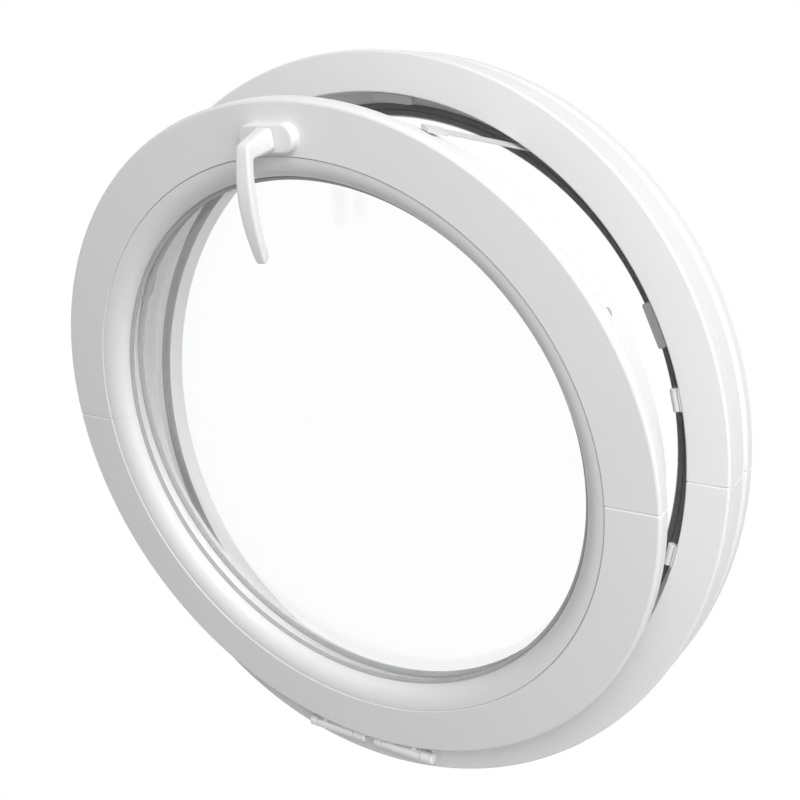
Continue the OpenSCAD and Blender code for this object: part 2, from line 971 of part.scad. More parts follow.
module faceplate_screws() {
    start = r_plate - seat;
    cone = plate_head_t - 2 * seat;
    color("silver")
        tilted()
            for (a = plate_screw_angles) {
                spoke(r_plate - plate_screw_l, start, plate_screw_d, a, h_rod);
                spoke(start - cone, start, plate_screw_d, a, h_rod, 0, plate_screw_d + 2 * cone);
            }
}

// Outline of a gap between two rack teeth, at the rod's inner side
module rack_gap() {
    half = tooth_pitch / 4 + tooth_backlash / 4;
    wide = half + (tooth_add + over) * tan(tooth_flank_a);
    narrow = half - tooth_ded * tan(tooth_flank_a);
    polygon([
        [r_rack - tooth_add - over, -wide],
        [r_rack + tooth_ded, -narrow],
        [r_rack + tooth_ded, narrow],
        [r_rack - tooth_add - over, wide]
    ]);
}

// The drive rod: a curved strip with slots round two faceplate screws and rack teeth over the pinion
module drive_rod() {
    slot_half = plate_screw_d / 2 + apart;
    slot_a = asin(slot_half / r_rod_in);
    color("silver")
        tilted()
            difference() {
                sector(r_rod_in, r_rod, h_rod - rod_w / 2, h_rod + rod_w / 2, rod_ends_a[0], rod_ends_a[1]);
                for (a = rod_slot_angles)
                    sector(r_rod_in - over, r_rod + over, h_rod - slot_half, h_rod + slot_half,
                           a - slot_a, a + rod_turn + slot_a);
                for (a = cam_angles)
                    spoke(r_rod_in - over, r_rod + over, cam_stem_d + 2 * running, a, h_rod);
                for (i = [rack_gaps[0] : rack_gaps[1]])
                    rotate([0, 0, 90 + i * rack_step_a])
                        translate([0, 0, h_rod - rod_w / 2 - over])
                            linear_extrude(rod_w + 2 * over)
                                rack_gap();
            }
}

// Locking cams on the drive rod, standing through the faceplate's slots
module locking_cams() {
    color("silver")
        tilted()
            for (a = cam_angles) {
                spoke(r_rod_in, r_body + apart, cam_stem_d, a, h_rod);
                spoke(r_body + apart, cam_tip, cam_d, a, h_rod);
            }
}

// Point at radius r, a length along the circle away from angle a
function along_circle(r, a, along) = [r * cos(a + along / r * 180 / PI), r * sin(a + along / r * 180 / PI)];

// Toothed pinion with a hub that runs in the gearbox case and a square hole for the spindle
module pinion() {
    half = tooth_pitch / 4 - tooth_backlash / 4;
    root_r = pinion_r - tooth_ded;
    tip_r = pinion_r + tooth_add;
    tip_half = half * tooth_tip_share;
    color("silver")
        at_handle()
            translate([0, 0, h_rod - h_face])
                difference() {
                    union() {
                        linear_extrude(pinion_w, center = true)
                            polygon([
                                for (k = [0 : pinion_teeth - 1])
                                    let (a = 90 + k * 360 / pinion_teeth)
                                    each [
                                        along_circle(root_r, a, -half),
                                        along_circle(pinion_r, a, -half),
                                        along_circle(tip_r, a, -tip_half),
                                        along_circle(tip_r, a, tip_half),
                                        along_circle(pinion_r, a, half),
                                        along_circle(root_r, a, half)
                                    ]
                            ]);
                        cylinder(h = case_depth, d = hub_d, center = true);
                    }
                    cube([spindle_w + 2 * running, spindle_w + 2 * running, case_depth + 2 * over], center = true);
                }
}

// Gearbox in the sash's pocket: a block bored for the pinion's hub, open towards the rod
module gearbox_case() {
    room_r = pinion_r + tooth_add + pinion_room;
    room_w = pinion_w + 2 * apart;
    color("gray")
        tilted()
            difference() {
                translate([-case_w / 2, handle_r - case_low, h_rod - case_depth / 2])
                    cube([case_w, case_top - handle_r + case_low, case_depth]);
                translate([0, handle_r, h_rod])
                    cylinder(h = room_w, r = room_r, center = true);
                translate([0, handle_r, h_rod])
                    cylinder(h = case_depth + 2 * over, d = hub_d + 2 * running, center = true);
                for (x = [-screw_pitch / 2, screw_pitch / 2])
                    translate([x, handle_r, h_rod + case_depth / 2 - screw_hold - apart])
                        cylinder(h = screw_hold + apart + over, d = screw_d + 2 * running);
            }
}

// A solid with two round ends from a half section, its ends' middles half_l away on each side
module pill(points, half_l) {
    for (side = [0, 180])
        rotate([0, 0, side])
            translate([half_l, 0, 0])
                rotate([0, 0, -90])
                    rotate_extrude(angle = 180)
                        polygon(points);
    for (side = [0, 1])
        mirror([0, side, 0])
            rotate([90, 0, 90])
                linear_extrude(2 * half_l, center = true)
                    polygon(points);
}

// Half section of the rosette's cover or base: straight side and rounded top edge
function rosette_points(r, h0, h1) = concat(
    [[0, h0], [r, h0]],
    arc(r - rosette_round_r, h1 - rosette_round_r, rosette_round_r, 0, 90),
    [[0, h1]]
);

// Cover of the rosette, a thin shell with a hole for the neck
module handle_cover() {
    half_l = (rosette_l - rosette_w) / 2;
    color("white")
        at_handle()
            difference() {
                pill(rosette_points(rosette_w / 2, 0, rosette_h), half_l);
                pill(rosette_points(rosette_w / 2 - cover_t, -over, rosette_h - cover_t), half_l);
                cylinder(h = rosette_h + over, d = neck_d + 2 * apart);
            }
}

// Base of the handle under the cover, bored for the neck's spigot and the two screws
module handle_base() {
    half_l = (rosette_l - rosette_w) / 2;
    color("gray")
        at_handle()
            difference() {
                pill(rosette_points(rosette_w / 2 - cover_t - base_play, 0, base_h), half_l);
                translate([0, 0, -over])
                    cylinder(h = base_h + 2 * over, d = spigot_d + 2 * running);
                for (x = [-screw_pitch / 2, screw_pitch / 2])
                    translate([x, 0, -over]) {
                        cylinder(h = base_h + 2 * over, d = screw_d + 2 * seat);
                        translate([0, 0, base_h - screw_head_h + over])
                            cylinder(h = screw_head_h + over, d = screw_head_d + 2 * seat);
                    }
            }
}

module handle_screws() {
    low = h_rod + case_depth / 2 - screw_hold - h_face;
    color("silver")
        at_handle()
            for (x = [-screw_pitch / 2, screw_pitch / 2])
                translate([x, 0, 0]) {
                    translate([0, 0, base_h - screw_head_h])
                        cylinder(h = screw_head_h, d = screw_head_d);
                    translate([0, 0, low])
                        cylinder(h = base_h - screw_head_h - low, d = screw_d);
                }
}

// Height of the lever's middle line above the sash face, at a share of its length
function lever_line(share) = lever_h + (lever_tip_h - lever_h) * share + 4 * lever_bow * share * (1 - share);

// Half thickness of the lever at a share of its length
function lever_half(share) = lever_t / 2 * (1 - lever_taper_share * share);

// Lever seen from the side: a bowed bar under a rounded knee
module lever_side() {
    polygon(concat(
        arc(0, lever_h + lever_half(0) - knee_r, knee_r, 0, 90),
        [for (i = [0 : lever_steps]) let (s = i / lever_steps) [-s * lever_l, lever_line(s) + lever_half(s)]],
        [
            for (i = [lever_steps : -1 : 0])
                let (s = i / lever_steps)
                [-s * (lever_l - tip_cut), lever_line(s) - lever_half(s)]
        ],
        [[knee_r, lever_h - lever_half(0)]]
    ));
}

// Half width of the lever at a share of its length
function lever_side_x(share) =
    lever_w / 2 * (1 - lever_narrow_share * pow(share - lever_belly_share, 2));

// Lever seen from the front: slim at the knee, widest above its middle, narrow at the tip
module lever_front() {
    polygon(concat(
        [[-lever_side_x(0), knee_r + over]],
        [for (i = [0 : lever_steps]) let (s = i / lever_steps) [-lever_side_x(s), -s * lever_l]],
        [for (i = [lever_steps : -1 : 0]) let (s = i / lever_steps) [lever_side_x(s), -s * lever_l]],
        [[lever_side_x(0), knee_r + over]]
    ));
}

// Neck: a leaning cone, cut level just above the rosette, that ends inside the bar
module lever_neck() {
    axis_l = (lever_h - neck_low) / cos(neck_lean);
    sink = neck_base_d / 2 * sin(neck_lean) + over;
    spread = (neck_base_d - neck_top_d) * sink / axis_l;
    translate([0, 0, neck_low])
        intersection() {
            rotate([neck_lean, 0, 0])
                translate([0, 0, -sink])
                    cylinder(h = axis_l + sink, d1 = neck_base_d + spread, d2 = neck_top_d);
            cylinder(h = lever_h, r = neck_base_d);
        }
}

// Lever handle: bar, neck and the spigot that turns in the base, with a square socket
module handle_lever() {
    color("white")
        at_handle()
            difference() {
                union() {
                    intersection() {
                        rotate([90, 0, 90])
                            linear_extrude(2 * neck_d, center = true)
                                lever_side();
                        linear_extrude(lever_h + lever_t + lever_bow)
                            lever_front();
                    }
                    lever_neck();
                    translate([0, 0, base_h + apart])
                        cylinder(h = neck_low - base_h, d = neck_d);
                    translate([0, 0, spigot_low])
                        cylinder(h = base_h + apart - spigot_low, d = spigot_d);
                }
                translate([0, 0, (spindle_top + apart) / 2])
                    cube([spindle_w + 2 * running, spindle_w + 2 * running, spindle_top + apart], center = true);
            }
}

// Square spindle from the pinion up into the lever
module handle_spindle() {
    low = h_rod - case_depth / 2 - h_face;
    color("silver")
        at_handle()
            translate([0, 0, (low + spindle_top) / 2])
                cube([spindle_w, spindle_w, spindle_top - low], center = true);
}

// Stay arm: a flat bar, round at its pivot and with rounded corners at its sliding end
module stay_arm() {
    half = stay_w / 2;
    end = stay_l + stay_over;
    color("lightgray")
        on_stay()
            rotate([90, 0, 90])
                linear_extrude(stay_t, center = true)
                    difference() {
                        union() {
                            circle(d = stay_w);
                            polygon(concat(
                                [[0, half], [0, -half]],
                                arc(end - stay_corner_r, stay_corner_r - half, stay_corner_r, -90, 0),
                                arc(end - stay_corner_r, half - stay_corner_r, stay_corner_r, 0, 90)
                            ));
                        }
                        circle(d = stay_pin_d + 2 * running);
                    }
}

// Sliding shoe slipped over the end of the stay arm
module stay_shoe() {
    slot_t = stay_t + 2 * running;
    slot_w = stay_w + 2 * running;
    length = shoe_back + shoe_over;
    color("gainsboro")
        on_stay()
            translate([-slot_t / 2, stay_l - shoe_back, -slot_w / 2])
                difference() {
                    translate([-shoe_t, 0, -shoe_wall])
                        cube([shoe_t + slot_t + shoe_top_t, length, slot_w + 2 * shoe_wall]);
                    translate([0, -over, 0])
                        cube([slot_t, length + 2 * over, slot_w]);
                }
}

frame_ring();
frame_seal();
keep_right();
keep_top();
keep_left();
keep_screws();
guide_buffers_right();
guide_buffers_left();
stay_pin();
hinge_left_knuckles();
hinge_left_pin();
hinge_left_cap();
hinge_right_knuckles();
hinge_right_pin();
hinge_right_cap();
sash_ring();
sash_seal();
bead_upper();
bead_lower();
pane_inner();
pane_outer();
spacer_bar();
edge_sealant();
gasket_inner();
gasket_outer();
setting_blocks();
hinge_left_barrel();
hinge_right_barrel();
faceplate();
faceplate_screws();
gearbox_case();
handle_base();
handle_cover();
handle_screws();
handle_lever();
handle_spindle();
pinion();
drive_rod();
locking_cams();
stay_arm();
stay_shoe();
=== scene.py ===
import json
import math

import bmesh
import bpy
from bpy.props import FloatProperty, FloatVectorProperty, IntProperty, PointerProperty
from mathutils import Matrix, Vector


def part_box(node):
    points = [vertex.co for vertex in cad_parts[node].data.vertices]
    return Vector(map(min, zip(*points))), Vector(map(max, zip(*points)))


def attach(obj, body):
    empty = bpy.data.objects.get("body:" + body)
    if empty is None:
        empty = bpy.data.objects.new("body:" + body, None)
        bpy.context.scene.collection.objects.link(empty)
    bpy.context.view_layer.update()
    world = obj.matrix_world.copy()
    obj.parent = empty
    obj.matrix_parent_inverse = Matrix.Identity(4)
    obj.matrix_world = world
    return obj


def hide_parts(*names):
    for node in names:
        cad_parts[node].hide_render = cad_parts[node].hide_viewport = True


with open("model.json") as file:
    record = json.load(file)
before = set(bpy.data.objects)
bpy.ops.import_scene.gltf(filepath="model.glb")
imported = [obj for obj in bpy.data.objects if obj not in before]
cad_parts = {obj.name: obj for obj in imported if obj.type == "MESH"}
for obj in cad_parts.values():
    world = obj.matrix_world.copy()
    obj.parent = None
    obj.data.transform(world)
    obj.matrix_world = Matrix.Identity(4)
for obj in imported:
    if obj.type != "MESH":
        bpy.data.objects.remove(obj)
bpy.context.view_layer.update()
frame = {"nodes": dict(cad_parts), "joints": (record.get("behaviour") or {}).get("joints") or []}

bl_info = {
    "name": "Porthole window",
    "version": (1, 0, 0),
    "blender": (4, 5, 0),
    "location": "View3D > Sidebar > Porthole",
    "description": "Dresses a round tilting window: rings, glazing, handle, hinges and fittings",
    "category": "Object",
}

JOINTS = {joint["name"]: joint for joint in frame["joints"]}
HINGE = Vector(JOINTS["sash_tilt"]["pos_m"])
TILT = math.radians(-JOINTS["sash_tilt"]["range_deg"][0])
FRAME_LOW, FRAME_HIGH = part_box("frame_ring")
# The rings' axis is the Y axis, and their levels count towards the room from the frame's face
FACE_Y = FRAME_LOW.y
TINY = 1e-6

# Steps of half a turn, of a full turn, of a rounded corner and of a copied piece's rounded edge
HALF_STEPS = 150
FULL_STEPS = 300
CORNER_STEPS = 4
EDGE_STEPS = 2
# Half the width of a weld's groove and of a bead's joint, and how nearly the halves meet in it
SEAM_FLANK = 0.0011
JOINT_FLANK = 0.0003
SEAM_CLOSE = 0.9
# The ends of a half ring have more corners than its other faces, and face nearly straight down
QUAD_CORNERS = 4
END_FACING = 0.9
# Edges sharper than this angle stay sharp in the shading
SMOOTH_ANGLE = math.radians(35)
# On a copied piece, facets that turn less than the first angle are joined, and edges that turn more than
# the second are rounded
FLAT_ANGLE = math.radians(0.5)
EDGE_ANGLE = math.radians(40)

# The flange seal: share of its groove's width that it fills, share of its half width that is rounded, and
# share of the flange's level that it leaves free
SEAL_FILL = 0.9
SEAL_ROUND = 0.9
SEAL_FREE = 0.1
# A gasket's reach is cut into equal steps. Corners of its lips, from the bead inwards: steps in, height as a
# share of its thickness, and rounding as a share of a step
REACH_STEPS = 5
GASKET_RIBS = ((1, 0.55, 0), (2, 0.85, 0.25), (3, 0.75, 0.25), (3, 0.35, 0), (5, 0.25, 0.25))

# Steps round the rosette's outline and over its front edge
ROSETTE_STEPS = 96
ROSETTE_EDGE_STEPS = 6
# Rings of the lever's rounded tip: share of the tip's length from its end, and size
TIP_RINGS = ((0, 0.55), (1 / 3, 0.86), (1, 1))
# How late along the lever its rings start to slant
SLANT_POWER = 8
# Shares of the lever's thickness: softness of the knee, and its inner corner below the middle line
KNEE_SOFT = 1 / 6
KNEE_DROP = 1 / 5
# Rings of the neck: share of the way down, and roundness
NECK_RINGS = ((0.25, 0.35), (0.5, 0.5), (0.8, 1), (0.97, 1), (1, 1))
LEVER_SUBDIVISIONS = 2


def length(name, description, default):
    """A length property in metres."""
    return FloatProperty(name=name, description=description, default=default, unit="LENGTH", precision=5)


def share(name, description, default):
    """A property between nothing and all."""
    return FloatProperty(name=name, description=description, default=default, min=0, max=1, subtype="FACTOR")


def level(name, description, default):
    """A light level, where 1 is plain."""
    return FloatProperty(name=name, description=description, default=default, min=0)


def direction(name, description, default):
    """A direction property, from the window's middle."""
    return FloatVectorProperty(name=name, description=description, default=default, subtype="DIRECTION")


def colour(name, description, default):
    """A colour property."""
    return FloatVectorProperty(name=name, description=description, default=default, min=0, max=1,
                               size=3, subtype="COLOR")


class FrameSizes(bpy.types.PropertyGroup):
    """Section of the fixed ring."""

    outer: length("Outer radius", "Radius of the outer wall", FRAME_HIGH.x)
    rebate: length("Rebate radius", "Radius of the rebate wall", 0.359)
    stop: length("Stop radius", "Inner radius of the stop lip", 0.334)
    depth: length("Depth", "Depth of the ring through the wall", FRAME_HIGH.y - FRAME_LOW.y)
    stop_depth: length("Stop depth", "Depth of the stop lip's face below the ring's face", 0.048)
    edge: length("Outer edge", "Rounding of the outer front edge", 0.003)
    inner_edge: length("Inner edge", "Rounding of the rebate's front edge", 0.0015)
    line_place: length("Line place", "Depth of the fine line in the outer wall", 0.010)
    line_width: length("Line width", "Width of the fine line", 0.0016)
    line_depth: length("Line depth", "Depth of the fine line", 0.0016)
    groove_place: length("Groove place", "Depth at which the add-on groove starts", 0.041)
    groove_width: length("Groove width", "Width of the add-on groove", 0.014)
    groove_depth: length("Groove depth", "Depth of the add-on groove", 0.004)
    soft_edge: length("Soft edge", "Rounding of the small edges", 0.0005)
    seal_middle: length("Seal radius", "Middle radius of the soft seal on the stop lip", 0.3415)
    seal_root: length("Seal root", "Width and depth of the seal's root groove", 0.004)


class SashSizes(bpy.types.PropertyGroup):
    """Section of the tilting ring."""

    rim: length("Rim radius", "Outer radius of the covering flange", 0.365)
    body: length("Body radius", "Outer radius of the sash body", 0.3465)
    glazing: length("Glazing radius", "Radius where the face meets the bead", 0.3118)
    lip: length("Lip radius", "Inner radius of the outer glazing lip", 0.291)
    face: length("Face level", "Level of the face above the frame's face", 0.020)
    flange: length("Flange level", "Level of the flange's back", 0.003)
    rear: length("Rear depth", "Depth of the sash's back", 0.045)
    lip_depth: length("Lip depth", "Depth of the outer glazing lip's inner side", 0.030)
    lip_slope: length("Lip slope", "Size of the slope at the back of the lip", 0.014)
    edge: length("Rim edge", "Rounding of the rim's front edge", 0.004)
    face_edge: length("Face edge", "Rounding of the face along the bead", 0.0012)
    line: length("Rim line", "Width and depth of the fine line round the rim", 0.0010)
    line_level: length("Rim line level", "Level of that line above the frame's face", 0.0075)
    seal_middle: length("Seal radius", "Middle radius of the seal under the flange", 0.362)
    seal_width: length("Seal width", "Width of that seal's groove", 0.003)
    groove_middle: length("Groove depth", "Depth of the middle of the hardware groove", 0.011)
    groove_half: length("Groove half width", "Half the width of the faceplate's recess", 0.0087)
    groove_floor: length("Groove floor", "Radius of the bottom of the recess", 0.3436)


class GlazingSizes(bpy.types.PropertyGroup):
    """Beads, gaskets and the sealed unit."""

    bead: length("Bead radius", "Inner radius of the glazing bead", 0.2895)
    bead_drop: length("Bead drop", "Depth of the bead's top below the face", 0.00125)
    gasket: length("Gasket thickness", "Thickness of a glazing gasket", 0.003)
    gasket_reach: length("Gasket reach", "How far the inner gasket's lip reaches past the bead", 0.0045)
    outer_reach: length("Outer reach", "How far the outer gasket's lip reaches past the sash's lip", 0.0020)
    gasket_width: length("Gasket width", "Width of a gasket behind the bead", 0.008)
    unit: length("Unit thickness", "Thickness of the sealed unit", 0.024)
    bead_steps: IntProperty(name="Bead steps", description="Steps of the bead's curve", default=20)


class HandleSizes(bpy.types.PropertyGroup):
    """Lever handle and its rosette."""

    rosette_length: length("Rosette length", "Length of the rosette", 0.0645)
    rosette_width: length("Rosette width", "Width of the rosette", 0.028)
    rosette_height: length("Rosette height", "Height of the rosette", 0.010)
    rosette_edge: length("Rosette edge", "Rounding of the rosette's front edge", 0.003)
    inset: length("Inset", "Distance of the handle's axis from the rim", 0.035)
    lever_width: length("Lever width", "Greatest width of the lever", 0.01725)
    lever_thick: length("Lever thickness", "Thickness of the lever", 0.0090)
    lever_height: length("Lever height", "Height of the lever's middle line at the knee", 0.039)
    lever_tip: length("Tip height", "Height of the lever's middle line at its tip", 0.0395)
    lever_length: length("Lever length", "Length of the lever below the axis", 0.107)
    lever_bow: length("Lever bow", "How far the lever bows outwards", 0.00825)
    lever_edge: share("Lever edge", "Share of the section that its rounded corners take", 0.22)
    belly: share("Belly", "Share of the length at which the lever is widest", 0.40)
    narrowing: share("Narrowing", "How fast the lever narrows from its belly", 0.95)
    tip_slant: length("Tip slant", "How far the tip's end is cut back on its inner side", 0.0035)
    tip_round: length("Tip rounding", "Length of the tip's rounded end", 0.0018)
    neck_base: length("Neck base", "Diameter of the neck where it stands over the rosette", 0.023)
    neck_gap: length("Neck gap", "Gap between the neck and the rosette", 0.0003)
    knee_back: length("Knee back", "Distance of the knee's inner corner below the axis", 0.0130)
    knee_top: length("Knee top", "Height of the knee's outer corner above the axis", 0.0012)
    lever_steps: IntProperty(name="Lever steps", description="Steps along the lever's bow", default=11)


class FinishColours(bpy.types.PropertyGroup):
    """Colours of the finishes."""

    white_pvc: colour("White profile", "Welded white profile", (0.80, 0.80, 0.80))
    white_lacquer: colour("White lacquer", "Handle and hinges", (0.82, 0.82, 0.82))
    white_nylon: colour("White nylon", "Guide buffers and shoe", (0.70, 0.70, 0.695))
    dark_rubber: colour("Dark rubber", "Seal on the stop lip", (0.20, 0.20, 0.202))
    grey_rubber: colour("Grey rubber", "Glazing gaskets and flange seal", (0.55, 0.55, 0.555))
    grey_casting: colour("Grey casting", "Keeps and gearbox", (0.30, 0.30, 0.305))
    grey_lacquer: colour("Grey lacquer", "Stay arm", (0.68, 0.68, 0.68))
    zinc: colour("Zinc", "Plated steel", (0.62, 0.62, 0.61))
    spacer: colour("Spacer", "Drawn metal bar between the panes", (0.98, 0.98, 0.98))
    block: colour("Setting block", "Plastic blocks round the glass", (0.08, 0.09, 0.11))
    glass: colour("Glass", "Clear coated glass", (0.989, 0.990, 0.9895))


class StageSettings(bpy.types.PropertyGroup):
    """Camera, lamps and floor."""

    camera_place: FloatVectorProperty(name="Camera place", description="Place of the camera",
                                      default=(0.6677, -0.9767, 0.3408), subtype="TRANSLATION")
    camera_turn: FloatVectorProperty(name="Camera turn", description="Azimuth, elevation and roll",
                                     default=(math.radians(33.19), math.radians(14.78), math.radians(-1.63)),
                                     subtype="EULER")
    lens: FloatProperty(name="Lens", description="Focal length in millimetres", default=49.59)
    key_level: level("Key level", "Level of the key lamp, where 1 is plain", 0.75)
    key_from: direction("Key from", "Direction of the key lamp", (0.60, -0.55, 0.58))
    fill_level: level("Fill level", "Level of the fill lamp, where 1 is plain", 0.22)
    fill_from: direction("Fill from", "Direction of the fill lamp", (0.85, -0.40, -0.20))
    lamp_distance: length("Lamp distance", "Distance of the lamps", 2.3)
    lamp_size: length("Lamp size", "Width of the lamps", 1.6)
    sky_level: level("Sky level", "Level of the light from all round", 0.48)
    floor_drop: length("Floor drop", "Depth of the floor below the window's middle", 1.35)
    floor_size: length("Floor size", "Width of the floor", 60.0)
    floor_glow: share("Floor glow", "Share of plain white in what is seen of the floor", 0.94)
    floor_white: level("Floor white", "Level of that plain white", 1.05)
    floor_tone: colour("Floor tone", "Colour that the floor throws back as light", (0.35, 0.35, 0.35))


# Modelling by hand, with the editing tools


def object_mode():
    """Leaves edit mode, with nothing selected."""
    if bpy.context.object and bpy.context.object.mode != "OBJECT":
        bpy.ops.object.mode_set(mode="OBJECT")
    bpy.ops.object.select_all(action="DESELECT")


def start(name, add, **settings):
    """Adds a primitive as the only selected object and opens it for editing."""
    object_mode()
    add(**settings)
    piece = bpy.context.object
    piece.name = name
    piece.data.name = name
    bpy.ops.object.mode_set(mode="EDIT")
    bpy.ops.mesh.select_mode(type="VERT")
    return piece


def pick(test, kind="VERT"):
    """Selects the vertices, edges or faces of the open mesh that pass a test."""
    bpy.ops.mesh.select_mode(type=kind)
    bpy.ops.mesh.select_all(action="DESELECT")
    mesh = bmesh.from_edit_mesh(bpy.context.object.data)
    for item in {"VERT": mesh.verts, "EDGE": mesh.edges, "FACE": mesh.faces}[kind]:
        if test(item):
            item.select_set(True)
    bmesh.update_edit_mesh(bpy.context.object.data)


def pick_all():
    """Selects the whole open mesh."""
    bpy.ops.mesh.select_all(action="SELECT")


def move(step):
    """Moves what is selected."""
    bpy.ops.transform.translate(value=step)


def turn(angle, axis, centre=(0, 0, 0)):
    """Turns what is selected about a main axis, counterclockwise seen from the axis's end."""
    bpy.ops.transform.rotate(value=-angle, orient_axis=axis, orient_type="GLOBAL", center_override=centre)


def resize(scale):
    """Scales what is selected about the origin."""
    bpy.ops.transform.resize(value=scale, center_override=(0, 0, 0))


def extrude(step):
    """Extrudes what is selected."""
    bpy.ops.mesh.extrude_region_move(TRANSFORM_OT_translate={"value": step})


def draw_section(name, corners):
    """Draws a closed outline corner by corner, fills it and rounds its corners.

    Each corner is a point and the radius of its rounding.
    """
    piece = start(name, bpy.ops.mesh.primitive_plane_add)
    pick_all()
    bpy.ops.mesh.merge(type="CENTER")
    points = [Vector(point) for point, radius in corners]
    move(points[0])
    for here, there in zip(points, points[1:]):
        bpy.ops.mesh.extrude_vertices_move(TRANSFORM_OT_translate={"value": there - here})
    pick_all()
    bpy.ops.mesh.edge_face_add()
    for rounding in sorted({radius for point, radius in corners if radius}):
        round_points = [Vector(point) for point, radius in corners if radius == rounding]
        pick(lambda vertex: any((vertex.co - point).length < TINY for point in round_points))
        bpy.ops.mesh.bevel(offset=rounding, segments=CORNER_STEPS, affect="VERTICES")
    return piece


def clean():
    """Closes the seams of the open mesh and points its faces outwards."""
    pick_all()
    bpy.ops.mesh.remove_doubles(threshold=TINY)
    bpy.ops.mesh.normals_make_consistent(inside=False)


def spin_half(radius, flank):
    """Spins a filled section half a turn and slopes its ends, which stay selected, towards a seam."""
    gap = math.asin(flank / radius)
    pick_all()
    bpy.ops.mesh.spin(steps=HALF_STEPS, angle=math.pi - 2 * gap, center=(0, 0, 0), axis=(0, 1, 0))
    pick_all()
    bpy.ops.mesh.normals_make_consistent(inside=False)
    turn(-gap, "Y")
    pick(lambda face: len(face.verts) > QUAD_CORNERS and abs(face.normal.z) > END_FACING, "FACE")
    bpy.ops.mesh.inset(thickness=flank, depth=flank * SEAM_CLOSE, use_individual=True)


def weld_second_half():
    """Opens the selected ends of an upper half ring and welds a turned copy to them as the lower half."""
    resize((1, 1, 0))
    bpy.ops.mesh.delete(type="ONLY_FACE")
    pick_all()
    bpy.ops.mesh.duplicate()
    turn(math.pi, "Y")
    clean()


def spin_full():
    """Spins the outline of a filled section through a full turn."""
    pick_all()
    bpy.ops.mesh.delete(type="ONLY_FACE")
    pick_all()
    bpy.ops.mesh.spin(steps=FULL_STEPS, angle=2 * math.pi, center=(0, 0, 0), axis=(0, -1, 0))
    clean()


def tilt_open():
    """Turns the open mesh, modelled on the closed sash, about the hinges to where the sash stands."""
    pick_all()
    turn(TILT, "X", HINGE)


def stand_up(place):
    """Stands up a mesh drawn lying down, its Z towards the room, at a place on the closed sash."""
    pick_all()
    turn(math.pi / 2, "X")
    move(place)


def apply_modifier(piece, kind, **settings):
    """Adds a modifier to the piece and applies it."""
    modifier = piece.modifiers.new(kind.title(), kind)
    for key, value in settings.items():
        setattr(modifier, key, value)
    bpy.context.view_layer.objects.active = piece
    bpy.ops.object.modifier_apply(modifier=modifier.name)


def finish_piece(piece, body, node, material):
    """Smooths a piece, gives it its finish and its body, and hides the node that it stands for."""
    object_mode()
    if not piece.data.polygons:
        raise RuntimeError(f"{piece.name} has no faces")
    piece.select_set(True)
    bpy.context.view_layer.objects.active = piece
    bpy.ops.object.shade_smooth_by_angle(angle=SMOOTH_ANGLE)
    apply_modifier(piece, "WEIGHTED_NORMAL", keep_sharp=True)
    piece.data.materials.clear()
    piece.data.materials.append(material)
    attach(piece, body)
    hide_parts(node)


def refine_copy(node, name, edge, clamp):
    """Copies a packed piece, joins its loose triangles into clean faces and rounds its edges.

    A clamp keeps roundings from running into each other, and small facets then hold all of them back.
    """
    object_mode()
    source = frame["nodes"][node]
    piece = source.copy()
    piece.data = source.data.copy()
    piece.name = name
    piece.data.name = name
    for key in list(piece.keys()):
        del piece[key]
    piece.parent = None
    bpy.context.scene.collection.objects.link(piece)
    bpy.context.view_layer.objects.active = piece
    piece.select_set(True)
    bpy.ops.mesh.customdata_custom_splitnormals_clear()
    bpy.ops.object.mode_set(mode="EDIT")
    pick_all()
    bpy.ops.mesh.remove_doubles(threshold=TINY)
    bpy.ops.mesh.dissolve_limited(angle_limit=FLAT_ANGLE)
    bpy.ops.object.mode_set(mode="OBJECT")
    apply_modifier(piece, "BEVEL", width=edge, segments=EDGE_STEPS, limit_method="ANGLE",
                   angle_limit=EDGE_ANGLE, use_clamp_overlap=clamp)
    return piece


def at(radius, height):
    """A point of a ring's section, from its radius and its level towards the room."""
    return Vector((radius, FACE_Y - height, 0))


# Finishes


class Value:
    """A socket of a material or of the surroundings, for sums written as plain expressions."""

    def __init__(self, owner, socket):
        self.owner = owner
        self.socket = socket

    def math(self, operation, *others):
        """Adds a Math node."""
        node = self.owner.node_tree.nodes.new("ShaderNodeMath")
        node.operation = operation
        for place, item in zip(node.inputs, (self, *others)):
            plug(self.owner, place, item)
        return Value(self.owner, node.outputs[0])

    def __add__(self, other):
        return self.math("ADD", other)

    def __radd__(self, other):
        return self.math("ADD", other)

    def __mul__(self, other):
        return self.math("MULTIPLY", other)

    def __rmul__(self, other):
        return self.math("MULTIPLY", other)


def plug(owner, place, item):
    """Sets a socket to a value, or links another socket to it."""
    if isinstance(item, Value):
        owner.node_tree.links.new(item.socket, place)
    elif hasattr(item, "__len__") and len(item) == 3 and place.type == "RGBA":
        place.default_value = (*item, 1)
    else:
        place.default_value = item


def seen(owner):
    """One for what the camera, a reflection or clear glass shows, and nothing for other light."""
    path = owner.node_tree.nodes.new("ShaderNodeLightPath")
    camera, mirrored, through = (Value(owner, path.outputs[name]) for name in
                                 ("Is Camera Ray", "Is Glossy Ray", "Is Transmission Ray"))
    return camera.math("MAXIMUM", mirrored).math("MAXIMUM", through)


